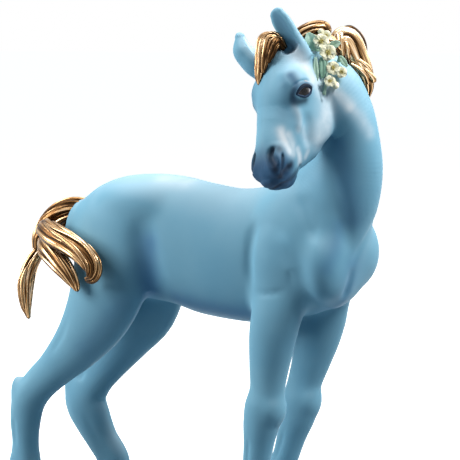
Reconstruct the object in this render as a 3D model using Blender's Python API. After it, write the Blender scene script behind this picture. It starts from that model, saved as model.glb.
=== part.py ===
"""Porcelain foal with a gilded mane and tail and a spray of flowers behind one ear.

The figurine is built the way a potter builds it: hollow castings (trunk, neck, head, ears, legs) that meet
at thin slip joints, hand-rolled locks of mane, forelock and tail, and hand-pressed flowers, leaves and stems.
Stations are written in millimetres about the trunk, +X towards the chest, +Y to the foal's left, +Z up with
the hoof soles at zero. FOOTPRINT moves the finished figurine over the middle of its own footprint.
"""
import math

import bmesh
import bpy
import numpy as np
from mathutils import Matrix, Vector

MM = 0.001                       # stations are in millimetres, the scene is in metres
SLIP_GAP = 0.3                   # clearance left at every joint between two pieces
FOOTPRINT = (17.5, 21.5)         # from the trunk's middle to the middle of the footprint

# How finely each kind of piece is rounded: sides of a section, steps between two stations
CASTING_ROUND = (20, 2)
LEG_ROUND = (12, 2)
EAR_ROUND = (10, 2)
LOCK_ROUND = (8, 2)
STEM_ROUND = (6, 2)
END_RINGS = (0.5, 0.85)          # rings of a rounded end, as fractions of its length

# How far each kind of piece is rounded off past its first and its last station
TRUNK_ENDS = (12, 16)
NECK_ENDS = (14, 8)
HEAD_ENDS = (7, 5)
LEG_ENDS = (10, 0)
EAR_ENDS = (3, 3)
HAIR_ENDS = (2, 2)
TAIL_ENDS = (3, 2)
STEM_ENDS = (0.5, 0.5)
LEAF_ENDS = (0.5, 0.8)
BUD_ENDS = (0.8, 1.0)

# The head is set on the neck by three turns and its poll
HEAD_YAW = math.radians(-114)    # the foal looks back over its right shoulder
HEAD_TILT = math.radians(17)     # nose pushed forward of straight down
HEAD_ROLL = math.radians(13)
POLL = (69.0, -49.0, 338.5)

LEAF_THICKNESS = 1.6
CALYX_LENGTH = 5.0               # from a flower's face back into what carries it
CALYX_RADIUS = 1.0
PETALS = 5
PETAL_STEPS = 3                  # points along the rim of one petal
PETAL_NOTCH = 0.24               # depth of the notch between petals, as a share of the flower's radius
STEM_RADIUS = 0.9
PETAL_RISE = 0.8                 # height of a petal's rim over the flower's centre
CALYX_TAPER = 0.9                # where the calyx is still round, as a share of its length
EAR_SHELL = 2.2                  # wall left round the hollow of an ear
SCOOP_OFFSET = 0.9               # how far out of the ear its hollow is set, as a share of the ear's reach
SCOOP_DEPTH = 0.8                # depth of the hollow, as a share of the same reach
LEAST_SCOOP = 0.6                # smallest half-size of the hollow, towards the tip

# Colours and finishes: colour, roughness, metallic
GLAZE = ((0.19, 0.40, 0.52), 0.55, 0.0)
GILDING = ((0.80, 0.55, 0.30), 0.22, 1.0)
PETAL_PASTE = ((0.90, 0.86, 0.70), 0.50, 0.0)
LEAF_PASTE = ((0.50, 0.64, 0.50), 0.50, 0.0)

UP = (0, 0, 1)
AHEAD = (1, 0, 0)

# Castings. A station is x, y, z, half-width, reach along the guide direction, reach against it.
TRUNK = [
    (-113, 0, 205, 19, 23, 26),
    (-97, 0, 204, 26, 35, 35),
    (-76, 0, 203, 29, 43, 41),
    (-52, 0, 202, 29, 45.5, 44),
    (-32, 0, 201, 28.5, 45.5, 45.5),
    (-10, 0, 199, 29.5, 43.5, 49),
    (14, 0, 196, 31, 43.5, 49),
    (36, 0, 195, 31.5, 46, 48.5),
    (58, -1, 196, 30, 48.5, 45),
    (78, -3, 196, 27.5, 44, 41),
    (94, -5, 195, 24, 34, 35),
]
# Swellings of the trunk: centre, then half-lengths along x, y and z
TRUNK_SWELLS = [
    ((89.5, 15, 197), (23.5, 20.5, 29)),   # point of the left shoulder
    ((82, -16, 192), (24, 20, 29)),        # point of the right shoulder
    ((84, 8, 184), (20, 17, 25)),          # left breast
    ((78, -9, 181), (20, 16, 25)),         # right breast
]
NECK = [
    (72, -1, 208, 27, 38, 36),
    (84, -2, 224, 26, 38, 35),
    (95, -2.5, 241, 24, 37, 31),
    (101.5, -2.5, 259, 21.5, 34, 27.5),
    (104, -4, 278, 19, 28.3, 24),
    (103.5, -7.5, 295, 17.5, 23.9, 22),
    (98.5, -14, 310, 16.5, 20.4, 20),
    (88.5, -22.5, 319, 15.5, 19, 18),
    (78, -31, 321, 14, 15, 15),
]
NECK_CREST = [                          # which way the crest faces at each station of the neck
    (-0.80, 0.00, 0.60),
    (-0.88, 0.05, 0.45),
    (-0.95, 0.15, 0.30),
    (-0.92, 0.35, 0.15),
    (-0.78, 0.60, 0.05),
    (-0.50, 0.85, 0.10),
    (-0.10, 0.95, 0.30),
    (0.20, 0.85, 0.50),
    (0.40, 0.60, 0.70),
]
# The head's own axes: x from poll to nose, y to its left, z out of the forehead
HEAD = [
    (-1, 0, -17, 12, 11, 13),
    (8, 0, -17, 16, 16, 18),
    (19, -0.6, -18, 19.6, 20, 23),
    (31, -0.9, -19, 21.4, 22.3, 28),
    (43, -0.6, -20, 19.6, 22.3, 30),
    (55, -0.4, -18.5, 17.4, 21, 29),
    (66, -0.5, -16, 15, 18.5, 23.5),
    (76, -0.6, -14, 13.8, 15.5, 17),
    (85, 0, -13, 12.2, 12.3, 13.2),
    (91, 0, -13.5, 9.2, 9, 9.6),
]
HEAD_SWELLS = [                         # on the head's axes, each with its twin on the other side
    ((31, 13, -10), (15, 10.5, 10)),    # brow and eye
    ((39, 9, -30), (22, 9, 20.5)),      # cheek
    ((81, 8, -8), (11, 6.5, 8)),        # nostril
]
CHIN = ((85, 0, -23.5), (7, 6.5, 5))

RIGHT_FORELEG = [
    (66, -22, 186, 9, 20, 22),
    (61, -24, 165, 12.5, 19, 18.8),
    (57, -24.5, 148, 13.5, 18, 17.2),
    (55, -24, 134, 13, 16, 16.4),
    (52.7, -23.5, 118, 11.5, 14, 14.2),
    (51.5, -23.5, 104, 10.5, 12.5, 12.7),
    (49.5, -23.5, 91, 12, 14.5, 14.5),
    (47, -23.3, 79, 11, 12.5, 13.5),
    (45, -23, 64, 9.2, 10, 11.7),
    (43, -23, 48, 8.6, 9, 10.7),
    (42, -23, 36, 9.5, 10, 12),
    (45, -23, 24, 9, 9.5, 9.5),
    (49, -23, 13, 11, 12, 11),
    (51, -23, 0, 13, 15, 13),
]
LEFT_FORELEG = [
    (82, 22, 186, 9, 20, 22),
    (75, 24, 167, 12.5, 15.4, 20),
    (69.5, 24.5, 149, 13.5, 16.4, 18),
    (64.5, 24, 134, 13, 16.5, 16),
    (60, 23, 118, 11.5, 14.5, 13.5),
    (56, 22, 104, 10.5, 13, 12),
    (54, 21.5, 91, 12, 13.5, 13.5),
    (51.5, 21, 79, 11, 12.5, 12.5),
    (47, 20.5, 64, 9.2, 10, 11),
    (42, 20, 48, 8.6, 9, 10),
    (36, 20, 36, 9.5, 10, 11.5),
    (39, 20, 24, 9, 9.5, 9.5),
    (43, 20, 13, 11, 12, 11),
    (45, 20, 0, 13, 15, 13),
]
RIGHT_HIND_LEG = [
    (-72, -13, 208, 14, 26, 28),
    (-78, -18, 186, 16, 33, 30),
    (-83, -21, 165, 16, 32, 27),
    (-91, -22.5, 145, 15, 27, 24),
    (-105, -23, 125, 13, 20, 19),
    (-124, -23, 106, 10.5, 14.5, 14),
    (-138, -23, 93, 9.5, 13, 13),
    (-148, -23, 81, 10.5, 13.5, 12.5),
    (-151, -23, 66, 9.5, 12, 12),
    (-151, -23, 50, 8.8, 10, 10.5),
    (-150, -23, 37, 9.5, 10, 12),
    (-146, -23, 24, 9, 9.5, 9.5),
    (-142, -23, 13, 11, 12, 11),
    (-140, -23, 0, 13, 15, 13),
]
LEFT_HIND_LEG = [
    (-68, 13, 208, 14, 26, 28),
    (-69, 18, 186, 16, 31, 30),
    (-72, 21, 165, 16, 29.4, 28),
    (-78, 22, 145, 15, 25.6, 25),
    (-91.3, 22, 125, 13, 19, 20),
    (-108.8, 21.5, 104, 10.5, 14.9, 16),
    (-119, 21, 91, 9.5, 13.7, 18),
    (-125.2, 21, 78, 10.5, 14.2, 19.5),
    (-119.6, 20.5, 64, 9.5, 13.0, 18),
    (-111.6, 20.5, 49, 8.8, 11.2, 14.5),
    (-102.3, 20.5, 36, 9.5, 10.7, 13),
    (-97, 20.5, 24, 9, 9.5, 9.5),
    (-92, 20.5, 13, 11, 12, 11),
    (-90, 20.5, 0, 13, 15, 13),
]

# Ears: the guide direction points out of the hollow
LEFT_EAR = [
    (87, -40, 331, 8, 6.5, 6.5),
    (84.3, -42.1, 337, 8.2, 6, 6),
    (80.6, -43.7, 343.5, 7.9, 4.8, 5),
    (76.6, -44.8, 350.5, 7.8, 3.9, 4.3),
    (72.8, -45.6, 356.3, 7.4, 3.3, 3.7),
    (70.8, -45.9, 359.8, 6.2, 2.8, 3.1),
]
LEFT_EAR_OPENS = (-0.35, -0.9, 0.05)
RIGHT_EAR = [
    (56.5, -36.5, 321, 7.5, 7, 7.4),
    (50.6, -38.1, 325.5, 8.2, 7.4, 8),
    (44.9, -37.8, 330.4, 8.4, 7.4, 7.8),
    (40.7, -38, 336, 7.6, 6.6, 6.8),
    (38.2, -37.9, 341.8, 5.8, 5, 5),
    (37.6, -37.2, 345.6, 3.9, 3.3, 3.1),
    (37.7, -36.5, 347.6, 2.3, 2.0, 1.9),
]
RIGHT_EAR_OPENS = (0.97, 0.09, 0.2)

# Gilded locks: name, guide direction out of the lock's flat side, stations
FORELOCK = [
    ("forelock_outer", (0.3, -0.9, 0.2), [
        (71, -41, 338, 3, 2.5, 2.5),
        (66, -45.5, 343.5, 4, 3, 3),
        (62.3, -50, 343, 4.2, 3.2, 3.2),
        (61.7, -52.8, 335, 4, 3, 3),
        (62, -54.5, 326, 3.6, 2.8, 2.8),
        (62.6, -55.8, 318, 2.6, 2.2, 2.2),
        (62.9, -56.4, 313.5, 1.2, 1.2, 1.2),
    ]),
    ("forelock_middle", (0.3, -0.9, 0.2), [
        (73, -43, 338, 3, 2.5, 2.5),
        (70, -47, 344, 4, 3, 3),
        (67, -51.5, 343, 4, 3, 3),
        (67, -55, 335, 4, 2.8, 2.8),
        (66.3, -56, 327, 3, 2.2, 2.2),
        (66, -56.5, 321, 1.3, 1.2, 1.2),
    ]),
    ("forelock_inner", (0.3, -0.9, 0.2), [
        (75, -44.5, 337, 3, 2.5, 2.5),
        (73.5, -49, 341.5, 3.8, 2.8, 2.8),
        (72.3, -53, 339.5, 3.8, 2.8, 2.8),
        (71.4, -55.5, 333.5, 3, 2.2, 2.2),
        (70.3, -56.6, 328, 1.3, 1.2, 1.2),
    ]),
]
MANE = [
    ("mane_poll_lock", (0.3, -0.6, 0.75), [
        (73, -32, 338.5, 4, 4, 4),
        (78, -27.5, 346, 5, 4.5, 4.5),
        (84, -21.5, 350.5, 5, 4.5, 4.5),
        (89.5, -15.5, 351.6, 4.2, 4, 4),
        (92.5, -12.5, 348.4, 2.4, 2.4, 2.4),
    ]),
    ("mane_under_lock", (0.3, -0.8, 0.5), [
        (78, -31, 335, 5, 4, 4),
        (83, -25, 339.5, 6, 4.5, 4.5),
        (89, -19, 341.5, 6, 4.5, 4.5),
        (95, -11.5, 339.5, 5, 4, 4),
        (98, -7, 336, 3, 3, 3),
    ]),
    ("mane_crest_lock", (0.7, -0.7, 0.1), [
        (92, -10, 336, 5, 4, 4),
        (97.3, -3.1, 344, 7, 4.5, 4.5),
        (101.2, 2.4, 341.4, 7.5, 5, 5),
        (104.6, 6.8, 331, 7.0, 5, 5),
        (107.6, 10.8, 320.5, 5.8, 4.5, 4.5),
        (109.2, 13.2, 311, 3.8, 3.4, 3.4),
        (108.6, 14.2, 304, 1.4, 1.4, 1.4),
    ]),
    ("mane_nape_lock", (1, 0, -0.1), [
        (86, -8, 329, 4, 5, 5),
        (88, 2, 338, 4.5, 7, 7),
        (91, 12, 335, 5, 8.5, 8.5),
        (93, 18, 324, 4.5, 8, 8),
        (94, 20.5, 312, 4, 5.5, 5.5),
        (93, 20.5, 302, 1.5, 1.5, 1.5),
    ]),
    ("mane_middle_lock", (1, 0.2, 0), [
        (90, 5, 313, 4, 6, 6),
        (88, 15, 316, 4.5, 7.5, 7.5),
        (84, 21, 307, 4.5, 7.5, 7.5),
        (82, 22.5, 295, 4, 5.5, 5.5),
        (82, 21.5, 285, 1.5, 1.5, 1.5),
    ]),
    ("mane_lower_lock", (0.8, 0.6, 0), [
        (87, 7, 296, 4, 6, 6),
        (79, 15, 299, 4.5, 7, 7),
        (74, 19, 290, 4.5, 7, 7),
        (71.5, 19.5, 277, 3.8, 5, 5),
        (72, 18, 267, 1.5, 1.5, 1.5),
    ]),
]
TAIL = [
    ("tail_dock", (0, 1, 0), [
        (-104, 0, 219, 7, 8, 8),
        (-117, -1, 221, 8.5, 8.5, 9),
        (-129, -3, 217.5, 9.5, 8.5, 10),
        (-139, -6, 209, 9.5, 9, 10),
        (-144, -10, 197, 8, 8, 9),
        (-145, -14, 186, 4, 4, 4),
    ]),
    ("tail_forward_lock", (0.2, -0.85, 0.5), [
        (-136, -17, 207, 5, 5, 5),
        (-128, -28, 207, 8, 7, 7),
        (-114, -36.5, 203, 9, 7, 7),
        (-99, -41, 198.5, 8.5, 7, 7),
        (-86, -44, 192.5, 8, 6.5, 6.5),
        (-77, -45.5, 184, 7, 6, 6),
        (-76.5, -45.5, 176.5, 4.5, 5, 5),
        (-81.5, -45, 173.5, 2.4, 3, 3),
    ]),
    ("tail_tip_lock", (-0.2, -0.9, 0.3), [
        (-136, -20, 197, 4.5, 4.5, 4.5),
        (-126, -31, 193, 7, 6, 6),
        (-112, -38.5, 186, 7, 6, 6),
        (-101, -42, 178, 6, 5, 5),
        (-94, -43, 170.5, 4, 4, 4),
        (-91.5, -43, 166, 1.8, 2, 2),
    ]),
    ("tail_hanging_lock", (-0.9, -0.2, 0.3), [
        (-144, -15, 189, 5, 4.5, 4.5),
        (-149, -19, 177, 8, 5.5, 5.5),
        (-150, -23, 163, 8, 5.5, 5.5),
        (-146, -28, 150, 5.5, 4, 4),
        (-142, -31, 142, 1.8, 1.6, 1.6),
    ]),
]

# Flowers: name, centre, radius, turn in degrees. All face out of the left side of the bent neck.
FLOWER_FACE = (0.55, -0.80, 0.22)
FLOWERS = [
    ("flower_top", (95.5, -30.0, 341.6), 5.2, 10),
    ("flower_middle", (101.0, -31.0, 334.2), 5.5, 40),
    ("flower_lower", (105.2, -31.5, 324.1), 4.3, 0),
    ("flower_outer", (110.2, -28.8, 321.3), 3.6, 30),
    ("flower_small", (105.4, -36.4, 315.5), 3.5, 20),
    ("flower_back", (95.0, -22.0, 345.6), 3.2, 50),
]
# Leaves and buds: name, guide direction out of the blade, stations of x, y, z and half-width
LEAVES = [
    ("leaf_broad", (0.45, -0.85, 0.3), [
        (93, -27, 336, 1.5),
        (90, -29.5, 339.5, 4.6),
        (88, -31, 343.5, 4.4),
        (86.5, -31.5, 347.5, 1.2),
    ]),
    ("leaf_oval", (0.45, -0.85, 0.3), [
        (94.5, -19.5, 332.5, 1.2),
        (97, -22.5, 337, 1.4),
        (100, -23, 338.6, 2.7),
        (103, -22.5, 340, 2.7),
        (105.5, -21.5, 341, 0.9),
    ]),
    ("leaf_dark", (0.5, -0.85, 0), [
        (97.5, -33, 331, 1.2),
        (99, -34.5, 327, 2.4),
        (99.8, -35.5, 322, 2.3),
        (99.5, -36, 317.5, 0.8),
    ]),
    ("leaf_long", (0.4, -0.9, 0), [
        (94.5, -36, 331, 0.9),
        (95.4, -37.5, 325, 1.9),
        (96.2, -38.5, 319, 2),
        (97, -39, 313, 0.7),
    ]),
    ("leaf_tip", (0.6, -0.8, 0.1), [
        (102.5, -19, 327, 1),
        (106, -22.5, 331, 1.4),
        (108.6, -22.5, 328, 2.1),
        (111, -22, 325, 0.8),
    ]),
]
BUDS = [
    ("bud_outer", (0.5, -0.85, 0), [
        (105.5, -29.5, 314.5, 1.2),
        (108, -33, 312.8, 2.4),
        (109.4, -34.6, 311.6, 1.6),
    ]),
    ("bud_upper", (0.5, -0.85, 0), [
        (90.5, -19.2, 345.9, 1),
        (91.3, -22.4, 348.2, 2.1),
        (91.6, -23.7, 349.4, 1.3),
    ]),
]
STEMS = [
    ("main_stem", [
        (99, -31.5, 333),
        (102, -33, 325),
        (102.3, -35.5, 315),
        (101.5, -37, 306.5),
    ]),
]


def smooth(rows, steps):
    """Points on a smooth curve through the given rows, with so many steps between two rows."""
    rows = np.asarray(rows, float)
    ends = [2 * rows[0] - rows[1], *rows, 2 * rows[-1] - rows[-2]]
    points = []
    for a, b, c, d in zip(ends, ends[1:], ends[2:], ends[3:]):
        for t in np.arange(steps) / steps:
            points.append(b + 0.5 * t * (c - a + t * (2 * a - 5 * b + 4 * c - d + t * (3 * (b - c) + d - a))))
    return np.array(points + [rows[-1]])


def unit(v):
    return v / np.linalg.norm(v, axis=-1, keepdims=True)


def head_axes():
    """The matrix that turns the head's own axes into the figurine's."""
    ahead = np.array([math.cos(HEAD_YAW), math.sin(HEAD_YAW), 0])
    down = np.array([0, 0, -1.0])
    nose = down * math.cos(HEAD_TILT) + ahead * math.sin(HEAD_TILT)
    brow = ahead * math.cos(HEAD_TILT) - down * math.sin(HEAD_TILT)
    c, s = math.cos(HEAD_ROLL), math.sin(HEAD_ROLL)
    return np.stack([nose, np.cross(brow, nose), brow], 1) @ np.array([[c, -s, 0], [s, c, 0], [0, 0, 1]])


def place(points, on_head=False):
    """Millimetres about the trunk, or on the head's axes, to metres over the footprint's middle."""
    points = np.asarray(points, float)
    if on_head:
        points = points @ head_axes().T + POLL
    return (points + (*FOOTPRINT, 0)) * MM


def finish(key, colour, roughness, metallic):
    material = bpy.data.materials.new(key)
    material.use_nodes = True
    shader = material.node_tree.nodes["Principled BSDF"]
    shader.inputs["Base Color"].default_value = (*colour, 1)
    shader.inputs["Roughness"].default_value = roughness
    shader.inputs["Metallic"].default_value = metallic
    return material


def add_piece(name, verts, faces, look, collection):
    mesh = bpy.data.meshes.new(name)
    mesh.from_pydata([tuple(v) for v in verts], [], faces)
    bm = bmesh.new()
    bm.from_mesh(mesh)
    bmesh.ops.recalc_face_normals(bm, faces=bm.faces)
    bm.to_mesh(mesh)
    bm.free()
    mesh.materials.append(finish(name, *look))
    obj = bpy.data.objects.new(name, mesh)
    collection.objects.link(obj)
    return obj


def skin(rings, start, end):
    """Faces over a stack of rings, closed by a fan at each end."""
    count, sides = len(rings), len(rings[0])
    verts = np.vstack([*rings, start[None], end[None]])
    faces = []
    for k in range(count - 1):
        for i in range(sides):
            j = (i + 1) % sides
            faces.append((k * sides + i, k * sides + j, (k + 1) * sides + j, (k + 1) * sides + i))
    last = (count - 1) * sides
    for i in range(sides):
        j = (i + 1) % sides
        faces.append((j, i, count * sides))
        faces.append((last + i, last + j, count * sides + 1))
    return verts, faces


def loft(name, rows, guide, look, collection, rounding, ends, on_head=False, flat_end=False):
    """A closed form through stations whose sections are egg-shaped about the guide direction."""
    sides, steps = rounding
    guides = np.broadcast_to(unit(np.asarray(guide, float)), (len(rows), 3))
    fine = smooth(np.hstack([np.asarray(rows, float), guides]), steps)
    centre = fine[:, :3]
    along = unit(np.gradient(centre, axis=0))
    if flat_end:
        along[-1] = (0, 0, -1)
    front = unit(fine[:, 6:] - np.sum(fine[:, 6:] * along, axis=1, keepdims=True) * along)
    left = np.cross(front, along)
    angle = np.arange(sides) * math.tau / sides
    rings = []

    def ring(k, share, shift):
        reach = np.where(np.sin(angle) > 0, fine[k, 4], fine[k, 5]) * np.sin(angle)
        rings.append(centre[k] + shift * along[k] + share * (
            fine[k, 3] * np.outer(np.cos(angle), left[k]) + np.outer(reach, front[k])))

    first, last = 0, len(centre) - 1
    for t in reversed(END_RINGS):
        ring(first, math.sqrt(1 - t * t), -t * ends[0])
    for k in range(len(centre)):
        ring(k, 1.0, 0.0)
    if not flat_end:
        for t in END_RINGS:
            ring(last, math.sqrt(1 - t * t), t * ends[1])
    tip = centre[last] if flat_end else centre[last] + ends[1] * along[last]
    verts, faces = skin(rings, centre[first] - ends[0] * along[first], tip)
    return add_piece(name, place(verts, on_head), faces, look, collection)


def swell(name, centre, reach, look, collection, on_head=False):
    """An egg-shaped mass, to be joined to a casting."""
    bm = bmesh.new()
    bmesh.ops.create_uvsphere(bm, u_segments=12, v_segments=8, radius=1)
    verts = np.array([v.co[:] for v in bm.verts]) * reach + centre
    faces = [tuple(v.index for v in f.verts) for f in bm.faces]
    bm.free()
    return add_piece(name, place(verts, on_head), faces, look, collection)


def largest_body(mesh):
    """Drop the crumbs that a cut leaves beside the main body."""
    bm = bmesh.new()
    bm.from_mesh(mesh)
    bodies = []
    unseen = set(bm.verts)
    while unseen:
        body, edge = [], [unseen.pop()]
        while edge:
            vert = edge.pop()
            body.append(vert)
            for link in vert.link_edges:
                other = link.other_vert(vert)
                if other in unseen:
                    unseen.remove(other)
                    edge.append(other)
        bodies.append(body)
    bodies.sort(key=len)
    bmesh.ops.delete(bm, geom=[v for body in bodies[:-1] for v in body], context="VERTS")
    bmesh.ops.dissolve_degenerate(bm, dist=0.01 * MM, edges=bm.edges)
    bm.to_mesh(mesh)
    bm.free()


def combine(obj, tool, operation):
    """Join a tool to a piece or cut it away, and keep the result as the piece's mesh."""
    modifier = obj.modifiers.new("combine", "BOOLEAN")
    modifier.operation = operation
    modifier.solver = "EXACT"
    modifier.object = tool
    bpy.context.view_layer.update()
    mesh = bpy.data.meshes.new_from_object(obj.evaluated_get(bpy.context.evaluated_depsgraph_get()))
    obj.modifiers.clear()
    largest_body(mesh)
    obj.data = mesh
    bpy.data.objects.remove(tool)


def corners(obj):
    points = np.array([v.co[:] for v in obj.data.vertices])
    return points.min(0), points.max(0)


def fit_against(obj, neighbours, cutters):
    """Cut a piece back to a slip gap's distance from each neighbour that it runs into."""
    for other in neighbours:
        low, high = corners(obj)
        other_low, other_high = corners(other)
        if (low > other_high + SLIP_GAP * MM).any() or (high < other_low - SLIP_GAP * MM).any():
            continue
        mesh = other.data.copy()
        bm = bmesh.new()
        bm.from_mesh(mesh)
        for vert in bm.verts:
            vert.co += vert.normal * SLIP_GAP * MM * vert.calc_shell_factor()
        bm.to_mesh(mesh)
        bm.free()
        cutter = bpy.data.objects.new("cutter_" + other.name, mesh)
        cutter.hide_render = True
        cutter.display_type = "WIRE"
        cutters.objects.link(cutter)
        combine(obj, cutter, "DIFFERENCE")


def ear(name, rows, opens, collection, cutters):
    """A leaf-shaped ear with a hollow scooped out of its open side."""
    shell = loft(name, rows, opens, GLAZE, collection, EAR_ROUND, EAR_ENDS)
    scoop = [(*np.add(row[:3], np.multiply(opens, row[4] * SCOOP_OFFSET)), max(row[3] - EAR_SHELL, LEAST_SCOOP),
              max(row[4] * SCOOP_DEPTH, LEAST_SCOOP), max(row[5] * SCOOP_DEPTH, LEAST_SCOOP)) for row in rows[1:-1]]
    combine(shell, loft("scoop_" + name, scoop, opens, GLAZE, cutters, EAR_ROUND, EAR_ENDS), "DIFFERENCE")
    return shell


def flower(name, centre, radius, turn, collection):
    """Five petals in one cupped form on a calyx, with a raised heart."""
    face = Vector(FLOWER_FACE).normalized()
    basis = face.to_track_quat("Z", "Y").to_matrix() @ Matrix.Rotation(math.radians(turn), 3, "Z")
    profile = [                         # radius, height over the centre, how deep the petals are notched
        (CALYX_RADIUS, -CALYX_LENGTH * CALYX_TAPER, 0.0),
        (CALYX_RADIUS, -2 * PETAL_RISE, 0.0),
        (radius * 0.55, -PETAL_RISE, 0.5),
        (radius, PETAL_RISE, 1.0),
        (radius * 0.93, 1.75 * PETAL_RISE, 1.0),
        (radius * 0.5, 0.5 * PETAL_RISE, 0.5),
        (radius * 0.22, 0.4 * PETAL_RISE, 0.0),
        (radius * 0.17, 1.4 * PETAL_RISE, 0.0),
    ]
    angle = np.arange(PETALS * PETAL_STEPS) * math.tau / (PETALS * PETAL_STEPS)
    rings = []
    for reach, height, notch in profile:
        spread = reach * (1 - notch * PETAL_NOTCH * (0.5 + 0.5 * np.cos(PETALS * angle)))
        rings.append(np.stack([spread * np.cos(angle), spread * np.sin(angle), np.full(len(angle), height)], 1))
    verts, faces = skin(rings, np.array([0, 0, -CALYX_LENGTH]), np.array([0, 0, 1.75 * PETAL_RISE]))
    return add_piece(name, place(verts @ np.array(basis).T + centre), faces, PETAL_PASTE, collection)


def build():
    for old in list(bpy.data.objects):
        bpy.data.objects.remove(old)
    figurine = bpy.data.collections.new("porcelain_foal")
    cutters = bpy.data.collections.new("cutters")
    for collection in (figurine, cutters):
        bpy.context.scene.collection.children.link(collection)

    # Castings, the trunk first: each one is fitted against those before it
    trunk = loft("trunk", TRUNK, UP, GLAZE, figurine, CASTING_ROUND, TRUNK_ENDS)
    for centre, reach in TRUNK_SWELLS:
        combine(trunk, swell("swell", centre, reach, GLAZE, cutters), "UNION")
    head = loft("head", HEAD, UP, GLAZE, figurine, CASTING_ROUND, HEAD_ENDS, on_head=True)
    for centre, reach in HEAD_SWELLS:
        for side in (1, -1):
            twin = (centre[0], side * centre[1], centre[2])
            combine(head, swell("swell", twin, reach, GLAZE, cutters, on_head=True), "UNION")
    combine(head, swell("swell", *CHIN, GLAZE, cutters, on_head=True), "UNION")
    neck = loft("neck", NECK, NECK_CREST, GLAZE, figurine, CASTING_ROUND, NECK_ENDS)
    fit_against(neck, [trunk, head], cutters)
    legs = []
    for name, rows in (("right_foreleg", RIGHT_FORELEG), ("left_foreleg", LEFT_FORELEG),
                       ("right_hind_leg", RIGHT_HIND_LEG), ("left_hind_leg", LEFT_HIND_LEG)):
        leg = loft(name, rows, AHEAD, GLAZE, figurine, LEG_ROUND, LEG_ENDS, flat_end=True)
        fit_against(leg, [trunk, neck], cutters)
        legs.append(leg)
    ears = [ear("left_ear", LEFT_EAR, LEFT_EAR_OPENS, figurine, cutters),
            ear("right_ear", RIGHT_EAR, RIGHT_EAR_OPENS, figurine, cutters)]
    for piece in ears:
        fit_against(piece, [head, neck], cutters)

    # Gilded hair
    hair = []
    for name, guide, rows in FORELOCK + MANE:
        lock = loft(name, rows, guide, GILDING, figurine, LOCK_ROUND, HAIR_ENDS)
        fit_against(lock, [head, neck, *ears, *hair], cutters)
        hair.append(lock)
    tail = []
    for name, guide, rows in TAIL:
        lock = loft(name, rows, guide, GILDING, figurine, LOCK_ROUND, TAIL_ENDS)
        fit_against(lock, [trunk, *legs[2:], *tail], cutters)
        tail.append(lock)

    # The spray behind the left ear
    spray = []
    for name, points in STEMS:
        rows = [(*p, STEM_RADIUS, STEM_RADIUS, STEM_RADIUS) for p in points]
        spray.append(loft(name, rows, FLOWER_FACE, LEAF_PASTE, figurine, STEM_ROUND, STEM_ENDS))
    spray += [flower(name, centre, radius, turn, figurine) for name, centre, radius, turn in FLOWERS]
    for name, guide, rows in LEAVES:
        blade = [(*row, LEAF_THICKNESS / 2, LEAF_THICKNESS / 2) for row in rows]
        spray.append(loft(name, blade, guide, LEAF_PASTE, figurine, LOCK_ROUND, LEAF_ENDS))
    for name, guide, rows in BUDS:
        round_rows = [(*row, row[3], row[3]) for row in rows]
        spray.append(loft(name, round_rows, guide, PETAL_PASTE, figurine, LOCK_ROUND, BUD_ENDS))
    for k, piece in enumerate(spray):
        fit_against(piece, [head, neck, *ears, *hair, *spray[:k]], cutters)

    for obj in figurine.objects:
        obj.data.shade_smooth()
        obj.data.set_sharp_from_angle(angle=math.radians(40))


build()
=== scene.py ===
"""The looks of a bisque porcelain foal with gilded hair and a spray of hand-pressed flowers.

Sizes are in millimetres about the middle of the trunk, +X towards the chest, +Y to the foal's left, +Z up
with the soles at zero. FOOTPRINT and MM take them to the frame of the solids. The blue casting is one
seamless skin, sculpted as a form (a distance to its surface) from stations, swellings, grooves and ridges,
and then meshed.
"""
import math

import bmesh
import bpy
import numpy as np
from mathutils import Matrix, Vector


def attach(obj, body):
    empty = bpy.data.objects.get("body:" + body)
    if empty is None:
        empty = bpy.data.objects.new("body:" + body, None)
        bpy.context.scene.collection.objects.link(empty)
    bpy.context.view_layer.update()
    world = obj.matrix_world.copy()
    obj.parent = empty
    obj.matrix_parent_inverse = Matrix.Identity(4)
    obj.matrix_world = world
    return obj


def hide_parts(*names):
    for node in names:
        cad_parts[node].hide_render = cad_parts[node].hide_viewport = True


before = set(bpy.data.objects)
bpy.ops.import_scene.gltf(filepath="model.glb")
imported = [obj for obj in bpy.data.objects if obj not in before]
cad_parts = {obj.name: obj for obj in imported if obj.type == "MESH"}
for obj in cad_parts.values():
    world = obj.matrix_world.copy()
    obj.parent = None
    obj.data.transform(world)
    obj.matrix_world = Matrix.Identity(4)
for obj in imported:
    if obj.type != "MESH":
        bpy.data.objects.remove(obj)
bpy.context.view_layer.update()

MM = 0.001
FOOTPRINT = np.array((17.5, 21.5, 0.0))
PHOTO = 460                              # pixels along each side of the photograph's frame

# The view: turned from straight along +Y and raised, aimed at a point, one pixel there in millimetres
VIEW_TURN = math.radians(30)
VIEW_RISE = math.radians(5)
VIEW_DISTANCE = 1600.0
VIEW_TARGET = np.array((8.3, 0.0, 209.8))
PIXEL = 0.70
SENSOR = 36.0

# The head is set on the neck by three turns and its poll
HEAD_YAW = math.radians(-114)
HEAD_TILT = math.radians(17)
HEAD_ROLL = math.radians(13)
POLL = np.array((69.0, -49.0, 338.5))

UP = (0, 0, 1)
AHEAD = (1, 0, 0)
PAINTED_LIGHT_WAY = (0.35, -0.30, 0.85)            # the way the light falls from: the glaze and the gilding get a painted highlight where they face it
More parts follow.
